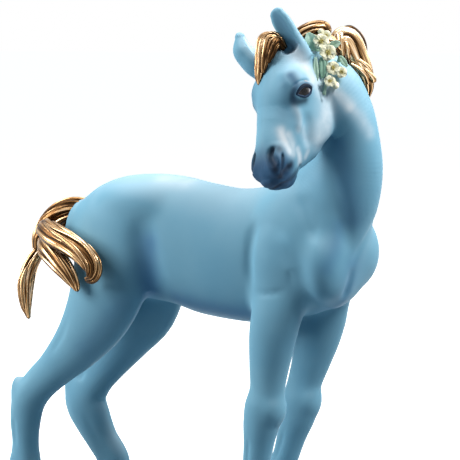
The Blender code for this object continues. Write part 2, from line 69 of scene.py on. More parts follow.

# ---------------------------------------------------------------- casting: stations
# A station is x, y, z, half-width, reach along the guide direction, reach against it.
TRUNK = [
    (-113, 0, 205, 19, 23, 26), (-97, 0, 204, 26, 35, 35), (-76, 0, 203, 29, 43, 41),
    (-52, 0, 202, 29, 45.5, 44),
    (-32, 0, 201, 28.5, 45.5, 45.5), (-10, 0, 199, 29.5, 43.5, 49), (14, 0, 196, 31, 43.5, 49),
    (36, 0, 195, 31.5, 46, 48.5), (58, -1, 196, 30, 48.5, 45), (78, -3, 196, 27.5, 44, 41),
    (94, -5, 195, 24, 34, 35),
]
NECK = [
    (72, -1, 208, 27, 38, 36), (84, -2, 224, 26, 38, 35), (95, -2.5, 241, 24, 37, 31),
    (101.5, -2.5, 259, 21.5, 34, 27.5), (104, -4, 278, 19, 28.3, 24), (103.5, -7.5, 295, 17.5, 23.9, 22),
    (98.5, -14, 310, 16.5, 20.4, 20), (88.5, -22.5, 319, 15.5, 19, 18), (78, -31, 321, 14, 15, 15),
]
NECK_CREST = [
    (-0.80, 0.00, 0.60), (-0.88, 0.05, 0.45), (-0.95, 0.15, 0.30), (-0.92, 0.35, 0.15), (-0.78, 0.60, 0.05),
    (-0.50, 0.85, 0.10), (-0.10, 0.95, 0.30), (0.20, 0.85, 0.50), (0.40, 0.60, 0.70),
]
# On the head's own axes: x from poll to nose, y to its left, z out of the forehead
HEAD = [
    (-1, 0, -17, 12, 11, 13), (8, 0, -17, 16, 16, 18), (19, -0.6, -18, 19.6, 20, 23),
    (31, -0.9, -19, 21.4, 22.3, 28),
    (43, -0.6, -20, 19.6, 22.3, 30), (55, -0.4, -18.5, 17.4, 21, 29), (66, -0.5, -16, 15, 18.5, 23.5),
    (76, -0.6, -14, 13.8, 15.5, 17), (85, 0, -13, 12.2, 12.3, 13.2), (91, 0, -13.5, 9.2, 9, 9.6),
]
RIGHT_FORELEG = [
    (66, -22, 186, 9, 20, 22), (61, -24, 165, 12.5, 19, 18.8), (57, -24.5, 148, 13.5, 18, 17.2),
    (55, -24, 134, 13, 16, 16.4),
    (52.7, -23.5, 118, 11.5, 14, 14.2), (51.5, -23.5, 104, 10.5, 12.5, 12.7),
    (49.5, -23.5, 91, 12, 14.5, 14.5),
    (47, -23.3, 79, 11, 12.5, 13.5), (45, -23, 64, 9.2, 10, 11.7), (43, -23, 48, 8.6, 9, 10.7),
    (42, -23, 36, 9.5, 10, 12),
    (45, -23, 24, 9, 9.5, 9.5), (49, -23, 13, 11, 12, 11), (51, -23, 0, 13, 15, 13),
]
LEFT_FORELEG = [
    (82, 22, 186, 9, 20, 22), (75, 24, 167, 12.5, 15.4, 20), (69.5, 24.5, 149, 13.5, 16.4, 18),
    (64.5, 24, 134, 13, 16.5, 16), (60, 23, 118, 11.5, 14.5, 13.5), (56, 22, 104, 10.5, 13, 12),
    (54, 21.5, 91, 12, 13.5, 13.5), (51.5, 21, 79, 11, 12.5, 12.5), (47, 20.5, 64, 9.2, 10, 11),
    (42, 20, 48, 8.6, 9, 10), (36, 20, 36, 9.5, 10, 11.5), (39, 20, 24, 9, 9.5, 9.5),
    (43, 20, 13, 11, 12, 11),
    (45, 20, 0, 13, 15, 13),
]
RIGHT_HIND_LEG = [
    (-72, -13, 208, 14, 26, 28), (-78, -18, 186, 16, 33, 30), (-83, -21, 165, 16, 32, 27),
    (-91, -22.5, 145, 15, 27, 24), (-105, -23, 125, 13, 20, 19), (-124, -23, 106, 10.5, 14.5, 14),
    (-138, -23, 93, 9.5, 13, 13), (-148, -23, 81, 10.5, 13.5, 12.5), (-151, -23, 66, 9.5, 12, 12),
    (-151, -23, 50, 8.8, 10, 10.5), (-150, -23, 37, 9.5, 10, 12), (-146, -23, 24, 9, 9.5, 9.5),
    (-142, -23, 13, 11, 12, 11), (-140, -23, 0, 13, 15, 13),
]
LEFT_HIND_LEG = [
    (-68, 13, 208, 14, 26, 28), (-69, 18, 186, 16, 31, 30), (-72, 21, 165, 16, 29.4, 28),
    (-78, 22, 145, 15, 25.6, 25),
    (-91.3, 22, 125, 13, 19, 20), (-108.8, 21.5, 104, 10.5, 14.9, 16), (-119, 21, 91, 9.5, 13.7, 18),
    (-125.2, 21, 78, 10.5, 14.2, 19.5), (-119.6, 20.5, 64, 9.5, 13.0, 18),
    (-111.6, 20.5, 49, 8.8, 11.2, 14.5),
    (-102.3, 20.5, 36, 9.5, 10.7, 13), (-97, 20.5, 24, 9, 9.5, 9.5), (-92, 20.5, 13, 11, 12, 11),
    (-90, 20.5, 0, 13, 15, 13),
]
LEFT_EAR = [
    (87, -40, 331, 8, 6.5, 6.5), (84.3, -42.1, 337, 8.2, 6, 6), (80.6, -43.7, 343.5, 7.9, 4.8, 5),
    (76.6, -44.8, 350.5, 7.8, 3.9, 4.3), (72.8, -45.6, 356.3, 7.4, 3.3, 3.7),
    (70.8, -45.9, 359.8, 6.2, 2.8, 3.1),
]
LEFT_EAR_OPENS = (-0.35, -0.90, 0.05)
RIGHT_EAR = [
    (56.5, -36.5, 321, 7.5, 7, 7.4), (50.6, -38.1, 325.5, 8.2, 7.4, 8), (44.9, -37.8, 330.4, 8.4, 7.4, 7.8),
    (40.4, -38, 336, 7.6, 6.7, 7.0), (37.9, -37.6, 343.9, 4.0, 3.4, 3.4),
]
RIGHT_EAR_OPENS = (0.97, 0.09, 0.20)
# Each ear's hollow: how far it is set towards the opening, its width and depth, as shares of the ear's own
LEFT_EAR_HOLLOW = (0.98, 0.78, 0.90)
RIGHT_EAR_HOLLOW = (0.75, 0.52, 0.60)
HOLLOW_FADE = 0.9                        # how much further out it is set at the tip, where it runs out

EARS = ((LEFT_EAR, LEFT_EAR_OPENS, LEFT_EAR_HOLLOW), (RIGHT_EAR, RIGHT_EAR_OPENS, RIGHT_EAR_HOLLOW))

# Swellings: centre, half-lengths, how softly they blend. The head's come in pairs, left and right.
TRUNK_SWELLS = [
    ((100.5, 20.5, 197), (12, 14, 20), 14), ((93, -21, 190), (13, 14, 22), 9),  # points of the shoulders
    ((88, 10, 180.3), (14.8, 13, 17.3), 9), ((80, -11, 177), (13, 12, 15), 8),  # breast
    ((66, 17, 205), (20, 13, 34), 12), ((66, -17, 205), (20, 13, 34), 12),  # shoulder blades
]
LIMB_SWELLS = [
    ((59, -26, 190), (15, 9.5, 24), 7), ((73, 26, 190), (14, 9, 23), 7),  # upper arms
    ((-60, -15, 228), (18, 9, 9), 14), ((-60, 15, 228), (18, 9, 9), 14),  # hips
    ((-157, -23, 88), (5, 5.5, 9), 5), ((-139, 21, 90), (5, 5.5, 9), 5),  # points of the hocks
    ((57, -23.4, 90), (6, 9, 9), 5), ((61, 21.4, 90), (6, 8.5, 9), 5),  # knees
    ((34.5, -23, 33), (5, 6.5, 6), 4), ((28.5, 20, 33), (5, 6.5, 6), 4),  # back of the fetlocks
    ((-158.5, -23, 34), (5, 6.5, 6), 4), ((-109, 20.5, 33), (5, 6.5, 6), 4),
]
HEAD_SWELLS = [
    ((28, 14.5, -9), (12, 8, 8), 7),  # brow
    ((39, 10, -31), (20, 7.5, 21), 6),  # cheek
    ((80, 8.5, -7), (10, 5.5, 7), 5),  # nostril
]
CHIN = ((85, 0, -23.5), (7, 6.5, 5), 4)

# Grooves and ridges: points, width, depth (ridges are below zero)
BODY_STROKES = [
    ([(-52, -26, 222), (-46, -29, 205), (-43, -30, 185), (-44, -24, 164)], 10, 4.6),  # right flank
    ([(-48, 26, 222), (-44, 29, 205), (-41, 30, 185), (-42, 24, 164)], 10, 4.6),  # left flank
    # rear edge of the barrel, right and left
    ([(-41, -27, 218), (-40, -29.5, 203), (-37, -29.5, 189), (-33, -27, 175), (-29, -19, 165)], 3.6, 1.2),
    ([(-39, 27, 218), (-38, 29.5, 203), (-35, 29.5, 189), (-31, 27, 175), (-27, 19, 165)], 3.6, 1.2),
    ([(46, -27, 224), (42.5, -31, 207), (42, -32, 190), (43.5, -31, 170)], 4, 1.7),  # behind the right arm
    ([(60, 27, 224), (57, 31, 207), (56, 32, 190), (58, 31, 172)], 4, 1.7),  # behind the left arm
    ([(42, -33, 171), (52, -36, 171), (64, -37, 172), (74, -35, 175)], 2.2, 1.5),  # right elbow
    ([(58, 35, 172), (66, 37, 171), (78, 37, 172), (88, 35, 175)], 2.2, 1.5),  # left elbow
    ([(74, -35, 175), (74.8, -35, 182), (74.2, -35, 190)], 2.4, 0.5),
    ([(66, -33, 216), (73, -34, 200), (79, -34, 180)], 5, -1.0),  # front of the upper arm
    ([(82, 33, 216), (88, 34, 200), (92.5, 34, 180)], 5, -1.0),
    # beside the windpipe, and its foot
    ([(96, -24, 264), (104, -26.5, 243), (108.5, -24, 226), (111, -18.5, 210),
    (111.5, -12.5, 197)], 5.5, 2.2),
    ([(122, 9, 226), (117.5, -1, 211), (113.5, -8.5, 200), (110.5, -11.6, 191)], 3, 1.7),
    ([(113, -11, 190), (107, -10, 178), (100, -9, 166)], 3.4, 1.4),  # between the breasts
    # long muscle of the neck, and the groove behind it
    ([(76, -25, 251), (86, -28, 235), (93, -29.5, 221), (100, -30, 207)], 6, -1.0),
    ([(76, -27, 243), (87, -30, 224), (94, -32, 204)], 6, 1.2),
    ([(-50, -25, 165), (-44, -20, 166), (-39, -13, 164)], 1.6, -1.0),  # fold of the flank
    ([(-112, 0, 230), (-95, 0, 240), (-70, 0, 246), (-50, 0, 248)], 4, 0.5),  # line of the croup
    ([(-101, -31, 150), (-110, -32, 131), (-124, -31, 113)], 3.2, 1.1),  # right gaskin
    ([(-88, 32, 150), (-95, 32, 131), (-107, 31, 112)], 3.2, 1.1),  # left gaskin
    # before the points of the hocks
    ([(-143, -31.5, 104), (-152, -32, 93)], 2.4, 1.2), ([(-143, -14.5, 104), (-152, -14, 93)], 2.4, 1.2),
    ([(-122, 30, 100), (-129, 30, 90)], 2.4, 1.2), ([(-122, 13, 100), (-129, 13, 90)], 2.4, 1.2),
    # between cannon and tendon, on both sides of each leg
    ([(41.5, -31.5, 72), (40, -31, 58), (39, -31, 44)], 1.8, 0.9),
    ([(41.5, -14.5, 72), (40, -15, 58), (39, -15, 44)], 1.8, 0.9),
    ([(46.5, 29, 72), (41, 28.5, 56), (35.5, 28, 44)], 1.8, 0.9),
    ([(46.5, 12, 72), (41, 12, 56), (35.5, 12, 44)], 1.8, 0.9),
    ([(-155, -31.5, 70), (-155, -31, 56), (-154, -31, 44)], 1.8, 0.9),
    ([(-155, -14.5, 70), (-155, -15, 56), (-154, -15, 44)], 1.8, 0.9),
    ([(-124, 29, 70), (-116, 28.5, 56), (-107, 28.5, 43)], 1.8, 0.9),
    ([(-124, 12, 70), (-116, 12, 56), (-107, 12.5, 43)], 1.8, 0.9),
]
NOSTRIL = [(73.0, 10.6, -5.0), (73.2, 8.6, -3.2), (76, 7.9, -1.8), (79.5, 9.0, -1.3), (83, 10.8, -1.6),
           (86.5, 11.4, -3.4)]
NOSTRIL_WING = [(73.0, 10.9, -5.4), (75.2, 12.4, -6.5), (80, 13.9, -6.8), (85.3, 13.6, -7.4),
                (89, 11.5, -8.2)]
NOSTRIL_FLAP = [(75.9, 11.6, -4), (80.6, 13.5, -4.3), (85.2, 13.3, -5)]
LIP_HOLLOW = [(80.9, 12.8, -14.8), (84, 12.8, -12.5), (87.5, 12.2, -10.3), (89.8, 10.8, -9)]
MOUTH = [(79, 9.5, -25.5), (84, 9.4, -23.8), (88.5, 8.2, -21), (92.2, 8.6, -15.8), (94, 7.4, -12.6),
         (95.6, 4.1, -11.6), (96.4, 0, -12)]
JAW_EDGE = [(24, 19.1, -27.5), (28, 19.6, -29.2), (33, 19.6, -30.6)]
FACIAL_CREST = [(42, 19.5, -7.5), (46, 19, -12), (50, 18.6, -14.6), (54, 18, -15.6), (60, 16.4, -16.2)]
HEAD_STROKES = [
    (FACIAL_CREST, 3.4, -1.0), (NOSTRIL, 2.0, 5.0), (NOSTRIL_WING, 0.9, 1.5), (NOSTRIL_FLAP, 1.2, -1.2),
    (LIP_HOLLOW, 2.3, 1.7), (MOUTH, 0.9, 2.0), (JAW_EDGE, 1.3, 1.8),
    ([(44, 20, -17), (51, 18.5, -21.5), (60, 15, -25), (68, 12.5, -27)], 4, 1.7),  # before the cheek
    ([(78, 9, -28), (79.5, 9.5, -24.5)], 1.6, 1.0),  # corner of the mouth
    ([(18, 12, -1), (26, 15.5, -1.5), (34, 17, -2)], 4, -0.5),  # edge of the brow
    ([(94, 7, -6), (95.5, 3.5, -5.2), (96.4, 0, -5)], 2.5, -0.5),  # upper lip
]

# Eye: middle of the opening on the head's left, its outward and rearward directions. The opening is pointed
# at both ends, with its upper lid arched most towards the front.
EYE_MIDDLE = np.array((32.0, 21.1, -13.6))
EYE_OUTWARD = (0.13, 0.97, -0.10)
EYE_REARWARD = (-0.555, -0.10, -0.825)
EYE_HALF = 7.4
UPPER_LID = 3.9
LOWER_LID = 3.4
EYEBALL = 13.0
EYEBALL_DEPTH = 11.4
IRIS = 0.33                              # half-angles seen from the middle of the ball
PUPIL = 0.20
GAZE_AHEAD = 0.10
LID_SPREAD = 4.0                         # how far from the lids a line twice their size lies

# ---------------------------------------------------------------- meshing of the casting
STRIDE = 3                               # the form is first sampled at every third place
NEAR = 1.15                              # and then exactly within this many coarse steps of the surface
MARGIN = 20.0                            # how far from its own box a part of the form is still worked out
FAR = 60.0                               # the form's value away from all its parts
CHUNK = 40000                            # points worked out at a time
LEAST_REACH = 0.3
RULER_X = ([-176, 12, 34, 112, 124, 150], [2.4, 2.4, 0.8, 0.8, 1.6, 2.0])
RULER_Y = ([-92, -26, -14, 64], [0.8, 0.8, 1.9, 2.1])
RULER_Z = ([-6, 225, 246, 372], [2.3, 2.3, 0.8, 0.8])


def unit(v):
    v = np.asarray(v, float)
    return v / np.linalg.norm(v, axis=-1, keepdims=True)


def head_axes():
    """The matrix that turns the head's own axes into the figurine's."""
    ahead = np.array([math.cos(HEAD_YAW), math.sin(HEAD_YAW), 0])
    down = np.array([0, 0, -1.0])
    nose = down * math.cos(HEAD_TILT) + ahead * math.sin(HEAD_TILT)
    brow = ahead * math.cos(HEAD_TILT) - down * math.sin(HEAD_TILT)
    c, s = math.cos(HEAD_ROLL), math.sin(HEAD_ROLL)
    return np.stack([nose, np.cross(brow, nose), brow], 1) @ np.array([[c, -s, 0], [s, c, 0], [0, 0, 1]])


HEAD_AXES = head_axes()


def from_head(points):
    return np.asarray(points, float) @ HEAD_AXES.T + POLL


def to_head(points):
    return (np.asarray(points, float) - POLL) @ HEAD_AXES


def place(points):
    """Millimetres about the trunk to metres in the frame of the solids."""
    return (np.asarray(points, float) + FOOTPRINT) * MM


def smooth(rows, steps):
    """Points on a smooth curve through the given rows, with so many steps between two rows."""
    rows = np.asarray(rows, float)
    ends = [2 * rows[0] - rows[1], *rows, 2 * rows[-1] - rows[-2]]
    points = []
    for a, b, c, d in zip(ends, ends[1:], ends[2:], ends[3:]):
        for t in np.arange(steps) / steps:
            bend = 2 * a - 5 * b + 4 * c - d + t * (3 * (b - c) + d - a)
            points.append(b + 0.5 * t * (c - a + t * bend))
    return np.array(points + [rows[-1]])


def section_frame(rows, guide, steps):
    """Smooth stations: middles, the ways along, to the guide and to the left of it, and the reaches."""
    guides = np.broadcast_to(unit(guide), (len(rows), 3))
    fine = smooth(np.hstack([np.asarray(rows, float), guides]), steps)
    centre = fine[:, :3]
    along = unit(np.gradient(centre, axis=0))
    front = unit(fine[:, 6:] - (fine[:, 6:] * along).sum(1, keepdims=True) * along)
    return centre, along, front, np.cross(front, along), fine[:, 3:6]


class Loft:
    """A rounded mass through stations whose sections are egg-shaped about the guide direction."""

    def __init__(self, rows, guide, ends, blend, on_head=False, steps=8):
        self.centre, self.along, self.front, self.left, reach = section_frame(rows, guide, steps)
        self.reach = np.maximum(reach, LEAST_REACH)
        self.ends, self.blend, self.on_head = ends, blend, on_head
        around = self.reach.max() + max(ends)
        low, high = self.centre.min(0) - around, self.centre.max(0) + around
        if on_head:
            corners = from_head([(x, y, z) for x in (low[0], high[0]) for y in (low[1], high[1])
                                 for z in (low[2], high[2])])
            low, high = corners.min(0), corners.max(0)
        self.low, self.high = low, high

    def __call__(self, points):
        points = to_head(points) if self.on_head else points
        return np.concatenate([self.some(points[i:i + CHUNK]) for i in range(0, len(points), CHUNK)])

    def some(self, points):
        gap = (self.centre ** 2).sum(1) - 2 * points @ self.centre.T
        i = gap.argmin(1)
        along = ((points - self.centre[i]) * self.along[i]).sum(1)
        last = len(self.centre) - 1
        j = np.clip(i + np.where(along > 0, 1, -1), 0, last)
        span = np.linalg.norm(self.centre[j] - self.centre[i], axis=1)
        share = np.where(span > 0, np.clip(np.abs(along) / np.maximum(span, 1e-9), 0, 1), 0)[:, None]
        offset = points - self.centre[i] * (1 - share) - self.centre[j] * share
        aside = (offset * (self.left[i] * (1 - share) + self.left[j] * share)).sum(1)
        ahead = (offset * (self.front[i] * (1 - share) + self.front[j] * share)).sum(1)
        reach = self.reach[i] * (1 - share) + self.reach[j] * share
        width, depth = reach[:, 0], np.where(ahead > 0, reach[:, 1], reach[:, 2])
        past = np.where((i == 0) & (along < 0), -along / self.ends[0],
                        np.where((i == last) & (along > 0), along / self.ends[1], 0))
        end = np.where(i == 0, self.ends[0], self.ends[1])
        size = np.sqrt((aside / width) ** 2 + (ahead / depth) ** 2 + past ** 2)
        slope = np.sqrt((aside / width ** 2) ** 2 + (ahead / depth ** 2) ** 2 + (past / end) ** 2)
        outside = size * (size - 1) / np.maximum(slope, 1e-6)
        return np.where(slope < 1e-6, -np.minimum(width, depth), outside)


class Swell:
    """An egg-shaped mass, along the figurine's axes or the head's."""

    def __init__(self, centre, reach, blend, on_head=False):
        self.axes = HEAD_AXES if on_head else np.eye(3)
        self.centre = from_head(centre) if on_head else np.asarray(centre, float)
        self.reach, self.blend = np.asarray(reach, float), blend
        self.low, self.high = self.centre - max(reach), self.centre + max(reach)

    def __call__(self, points):
        inner = (points - self.centre) @ self.axes
        size = np.sqrt(((inner / self.reach) ** 2).sum(1))
        slope = np.sqrt(((inner / self.reach ** 2) ** 2).sum(1))
        return np.where(slope < 1e-6, -self.reach.min(), size * (size - 1) / np.maximum(slope, 1e-6))


class Stroke:
    """A groove along a smooth line, or a ridge where its depth is below zero."""

    def __init__(self, points, width, depth, on_head=False, closed=False):
        line = smooth(points, 12)
        steps = np.concatenate([[0], np.cumsum(np.linalg.norm(np.diff(line, axis=0), axis=1))])
        run = np.linspace(0, steps[-1], max(int(steps[-1] / (0.3 * width)), 3))
        line = np.stack([np.interp(run, steps, line[:, a]) for a in range(3)], 1)
        self.line = from_head(line) if on_head else line
        ends = np.clip(np.minimum(run, run[-1] - run) / (0.32 * run[-1]), 0, 1)
        self.fade = np.ones(len(run)) if closed else ends * ends * (3 - 2 * ends)
        self.rise = np.gradient(self.fade, run)
        self.ahead, self.step = unit(np.gradient(self.line, axis=0)), run[1] / 2
        self.width, self.depth, self.blend = width, depth, 0.0
        self.low, self.high = self.line.min(0) - 3 * width, self.line.max(0) + 3 * width

    def gap(self, points):
        """How strong the stroke is at the nearest place on its line, and the distance to that place."""
        far = (self.line ** 2).sum(1) - 2 * points @ self.line.T
        k = far.argmin(1)
        away = points - self.line[k]
        along = np.clip((away * self.ahead[k]).sum(1), -self.step, self.step)
        aside = away - along[:, None] * self.ahead[k]
        return self.fade[k] + along * self.rise[k], np.linalg.norm(aside, axis=1)

    def __call__(self, points):
        strength, gap = self.gap(points)
        return self.depth * strength * np.exp(-(gap / self.width) ** 2)


class Floor:
    """Everything under the soles."""
    low, high = np.array((-250.0, -150.0, -60.0)), np.array((250.0, 150.0, 4.0))
    blend = 0.8

    def __call__(self, points):
        return points[:, 2]


def nearer(a, b, k):
    """The smaller of two distances, rounded over a width k where they meet."""
    near = np.maximum(k - np.abs(a - b), 0) / k
    return np.minimum(a, b) - near * near * k * 0.25


class Form:
    """Masses joined, cut and stroked in the order they were added."""

    def __init__(self, blend=4.0):
        self.steps = []
        self.blend = blend

    def join(self, *masses):
        self.steps += [("join", mass) for mass in masses]

    def cut(self, *masses):
        self.steps += [("cut", mass) for mass in masses]

    def stroke(self, *lines):
        self.steps += [("stroke", line) for line in lines]

    @property
    def low(self):
        return np.min([mass.low for _, mass in self.steps], axis=0)

    @property
    def high(self):
        return np.max([mass.high for _, mass in self.steps], axis=0)

    def __call__(self, points):
        total = np.full(len(points), FAR)
        for step, mass in self.steps:
            margin = 0 if step == "stroke" else MARGIN
            inside = np.all((points > mass.low - margin) & (points < mass.high + margin), axis=1)
            if not inside.any():
                continue
            value = mass(points[inside])
            if step == "join":
                total[inside] = nearer(total[inside], value, mass.blend)
            elif step == "cut":
                total[inside] = -nearer(-total[inside], value, mass.blend)
            else:
                total[inside] += value
        return total


def ruler(places, steps):
    """Coordinates from the first place to the last, their spacing read from a table."""
    marks = [float(places[0])]
    while marks[-1] < places[-1] or len(marks) % STRIDE != 1:
        marks.append(marks[-1] + float(np.interp(marks[-1], places, steps)))
    return np.array(marks)


def sample(form, rulers):
    """The form on a graded grid, exact near its surface."""
    coarse = [marks[::STRIDE] for marks in rulers]
    grid = np.stack(np.meshgrid(*coarse, indexing="ij"), -1).reshape(-1, 3)
    values = form(grid).reshape([len(marks) for marks in coarse])
    for axis, marks in enumerate(rulers):
        steps = np.arange(len(marks)) / STRIDE
        low = np.minimum(steps.astype(int), values.shape[axis] - 2)
        share = (steps - low).reshape([-1 if a == axis else 1 for a in range(3)])
        values = values.take(low, axis) * (1 - share) + values.take(low + 1, axis) * share
    x, y, z = (np.gradient(marks) for marks in rulers)
    cell = np.maximum(np.maximum(x[:, None, None], y[None, :, None]), z[None, None, :])
    near = np.abs(values) < NEAR * STRIDE * cell
    i, j, k = np.nonzero(near)
    values[near] = form(np.stack([rulers[0][i], rulers[1][j], rulers[2][k]], 1))
    return values


def surface_net(values, rulers):
    """One vertex in each cell that the surface crosses, and a quad across each crossed edge."""
    inside = values < 0
    nx, ny, nz = values.shape
    corners = [(a, b, c) for a in (0, 1) for b in (0, 1) for c in (0, 1)]
    count = sum(inside[a:nx - 1 + a, b:ny - 1 + b, c:nz - 1 + c].astype(np.int8) for a, b, c in corners)
    cells = np.argwhere((count > 0) & (count < 8))
    number = np.full(count.shape, -1)
    number[tuple(cells.T)] = np.arange(len(cells))
    at = {corner: values[tuple((cells + corner).T)] for corner in corners}
    total = np.zeros((len(cells), 3))
    crossings = np.zeros(len(cells))
    for corner in corners:
        for axis in range(3):
            if corner[axis]:
                continue
            end = tuple(1 if a == axis else corner[a] for a in range(3))
            crossed = (at[corner] < 0) != (at[end] < 0)
            spot = np.tile(np.array(corner, float), (len(cells), 1))
            spot[:, axis] = np.where(crossed, at[corner] / np.where(crossed, at[corner] - at[end], 1), 0)
            total += np.where(crossed[:, None], spot, 0)
            crossings += crossed
    spots = (cells + total / crossings[:, None]).T
    verts = [np.interp(spot, np.arange(len(marks)), marks) for spot, marks in zip(spots, rulers)]
    quads = []
    for axis in range(3):
        b, c = (axis + 1) % 3, (axis + 2) % 3
        low = [slice(None)] * 3
        high = [slice(None)] * 3
        low[axis], high[axis] = slice(0, -1), slice(1, None)
        edges = np.argwhere(inside[tuple(low)] != inside[tuple(high)])
        quad = []
        for db, dc in ((0, 0), (1, 0), (1, 1), (0, 1)):
            cell = edges.copy()
            cell[:, b] -= db
            cell[:, c] -= dc
            quad.append(number[tuple(cell.T)])
        quad = np.stack(quad, 1)
        outward = inside[tuple(edges.T)]
        quad[~outward] = quad[~outward][:, ::-1]
        quads.append(quad)
    return np.stack(verts, 1), np.vstack(quads)


def settle(form, verts, steps=2, nudge=0.25):
    """Move the vertices onto the surface, along its slope."""
    for _ in range(steps):
        here = form(verts)
        slope = np.stack([form(verts + np.eye(3)[a] * nudge) - here for a in range(3)], 1) / nudge
        steep = np.maximum((slope ** 2).sum(1), 0.1)
        verts = verts - np.clip(here / steep, -1.2, 1.2)[:, None] * slope
    return verts


# ---------------------------------------------------------------- shared making
FINISHES = {}


def fits(obj, slot, *nodes):
    """Set a finished piece on the figurine: it rides with it and stands for its nodes, which are hidden;
    slot is not used.
    """
    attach(obj, "root")
    if nodes:
        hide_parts(*nodes)
    return obj


def placed(name, data):
    """A new object in the scene."""
    obj = bpy.data.objects.new(name, data)
    bpy.context.scene.collection.objects.link(obj)
    return obj


def piece(name, verts, faces, finish, flags=None):
    """A shaded mesh object; flags are named values kept on its vertices."""
    mesh = bpy.data.meshes.new(name)
    mesh.from_pydata(np.asarray(verts, float).tolist(), [], [tuple(int(i) for i in face) for face in faces])
    mesh.validate()
    mesh.shade_smooth()
    for key, values in (flags or {}).items():
        values = np.asarray(values, float)
        if values.ndim == 1:
            mesh.attributes.new(key, "FLOAT", "POINT").data.foreach_set("value", values)
        else:
            full = np.hstack([values, np.ones((len(values), 1))])
            mesh.attributes.new(key, "FLOAT_COLOR", "POINT").data.foreach_set("color", full.ravel())
    mesh.materials.append(FINISHES[finish])
    return placed(name, mesh)


def band_faces(rings, sides, closed=False):
    """Quads between rings of vertices, and from the last ring to the first where they close."""
    faces = []
    for k in range(rings if closed else rings - 1):
        here, there = k * sides, (k + 1) % rings * sides
        for i in range(sides):
            j = (i + 1) % sides
            faces.append((here + i, here + j, there + j, there + i))
    return faces


def tube_faces(rings, sides, first=0):
    """Bands closed by a fan at each end; the two end points follow the rings."""
    faces = band_faces(rings, sides)
    start, end, last = rings * sides, rings * sides + 1, (rings - 1) * sides
    for i in range(sides):
        j = (i + 1) % sides
        faces.append((j, i, start))
        faces.append((last + i, last + j, end))
    return [tuple(first + i for i in face) for face in faces]


def sheet_faces(rows, columns):
    """Quads of a thin sheet: upper face, lower face, whose vertices follow, and the border between them."""
    sheet = rows * columns
    faces = []
    for i in range(rows - 1):
        for j in range(columns - 1):
            a = i * columns + j
            quad = (a, a + columns, a + columns + 1, a + 1)
            faces += [quad, tuple(sheet + k for k in reversed(quad))]
    border = (list(range(columns)) + [i * columns + columns - 1 for i in range(1, rows)]
              + [(rows - 1) * columns + j for j in range(columns - 2, -1, -1)]
              + [i * columns for i in range(rows - 2, 0, -1)])
    return faces + [(a, b, sheet + b, sheet + a) for a, b in zip(border, border[1:] + border[:1])]


def closed_right(obj):
    """Turn every face of a closed piece outwards."""
    bm = bmesh.new()
    bm.from_mesh(obj.data)
    bmesh.ops.recalc_face_normals(bm, faces=bm.faces)
    bm.to_mesh(obj.data)
    bm.free()
    return obj


def note_facing_light(obj):
    """Keep on each vertex how far its surface faces the light, for the painted highlight."""
    normals = np.empty(3 * len(obj.data.vertices))
    obj.data.vertices.foreach_get("normal", normals)
    facing_light = normals.reshape(-1, 3) @ unit(PAINTED_LIGHT_WAY)
    obj.data.attributes.new("facing_light", "FLOAT", "POINT").data.foreach_set("value", facing_light)
    return obj


# ---------------------------------------------------------------- finishes
class Wire:
    """A node socket that takes part in Python expressions."""

    def __init__(self, tree, socket=None):
        self.tree = tree
        self.socket = socket

    def make(self, kind, settings=None, inputs=None, output=0):
        """Any node: its type, its settings, then the values or links of its sockets."""
        node = self.tree.nodes.new(kind)
        for key, value in (settings or {}).items():
            setattr(node, key, value)
        for key, value in (inputs or {}).items():
            if isinstance(value, Wire):
                self.tree.links.new(value.socket, node.inputs[key])
            else:
                node.inputs[key].default_value = value
        return Wire(self.tree, node.outputs[output] if len(node.outputs) else None)

    def maths(self, operation, *values):
        return self.make("ShaderNodeMath", {"operation": operation}, dict(enumerate(values)))

    def vector(self, operation, *others, output=0):
        inputs = dict(enumerate((self, *others)))
        return self.make("ShaderNodeVectorMath", {"operation": operation}, inputs, output)

    def __add__(self, other):
        return self.maths("ADD", self, other)

    def __sub__(self, other):
        return self.maths("SUBTRACT", self, other)

    def __mul__(self, other):
        return self.maths("MULTIPLY", self, other)

    def __truediv__(self, other):
        return self.maths("DIVIDE", self, other)

    __radd__ = __add__
    __rmul__ = __mul__

    def clamp(self):
        return self.make("ShaderNodeClamp", None, {"Value": self})

    def between(self, low, high):
        """0 below low, 1 above high, and eased from one to the other."""
        return self.make("ShaderNodeMapRange", {"interpolation_type": "SMOOTHSTEP"},
                         {"Value": self, "From Min": low, "From Max": high})

    def blend(self, a, b):
        """Colour a where this is 0 and colour b where it is 1."""
        a, b = (colour if isinstance(colour, Wire) else (*colour, 1.0) for colour in (a, b))
        return self.make("ShaderNodeMix", {"data_type": "RGBA"}, {"Factor": self, 6: a, 7: b}, output=2)

    def noise(self, scale, detail=2.0, roughness=0.5):
        return self.make("ShaderNodeTexNoise", None,
                         {"Vector": self, "Scale": scale, "Detail": detail, "Roughness": roughness})

    def bump(self, strength, distance):
        inputs = {"Height": self, "Strength": strength, "Distance": distance}
        return self.make("ShaderNodeBump", None, inputs)

    def flag(self, name, output=2):
        """A value that was kept on the vertices; output 0 is its colour."""
        return self.make("ShaderNodeAttribute", {"attribute_name": name}, None, output)

    def channel(self, index):
        return self.make("ShaderNodeSeparateColor", None, {"Color": self}, index)


def finish(name, build, **sockets):
    """A Principled finish; build gets the object's coordinates and returns what varies over the surface."""
    material = bpy.data.materials.new(name)
    material.use_nodes = True
    tree = material.node_tree
    shader = tree.nodes["Principled BSDF"]
    for key, value in sockets.items():
        shader.inputs[key.replace("_", " ")].default_value = value
    where = Wire(tree).make("ShaderNodeTexCoord", None, None, 3)
    for key, value in build(where).items():
        tree.links.new(value.socket, shader.inputs[key])
    FINISHES[name] = material


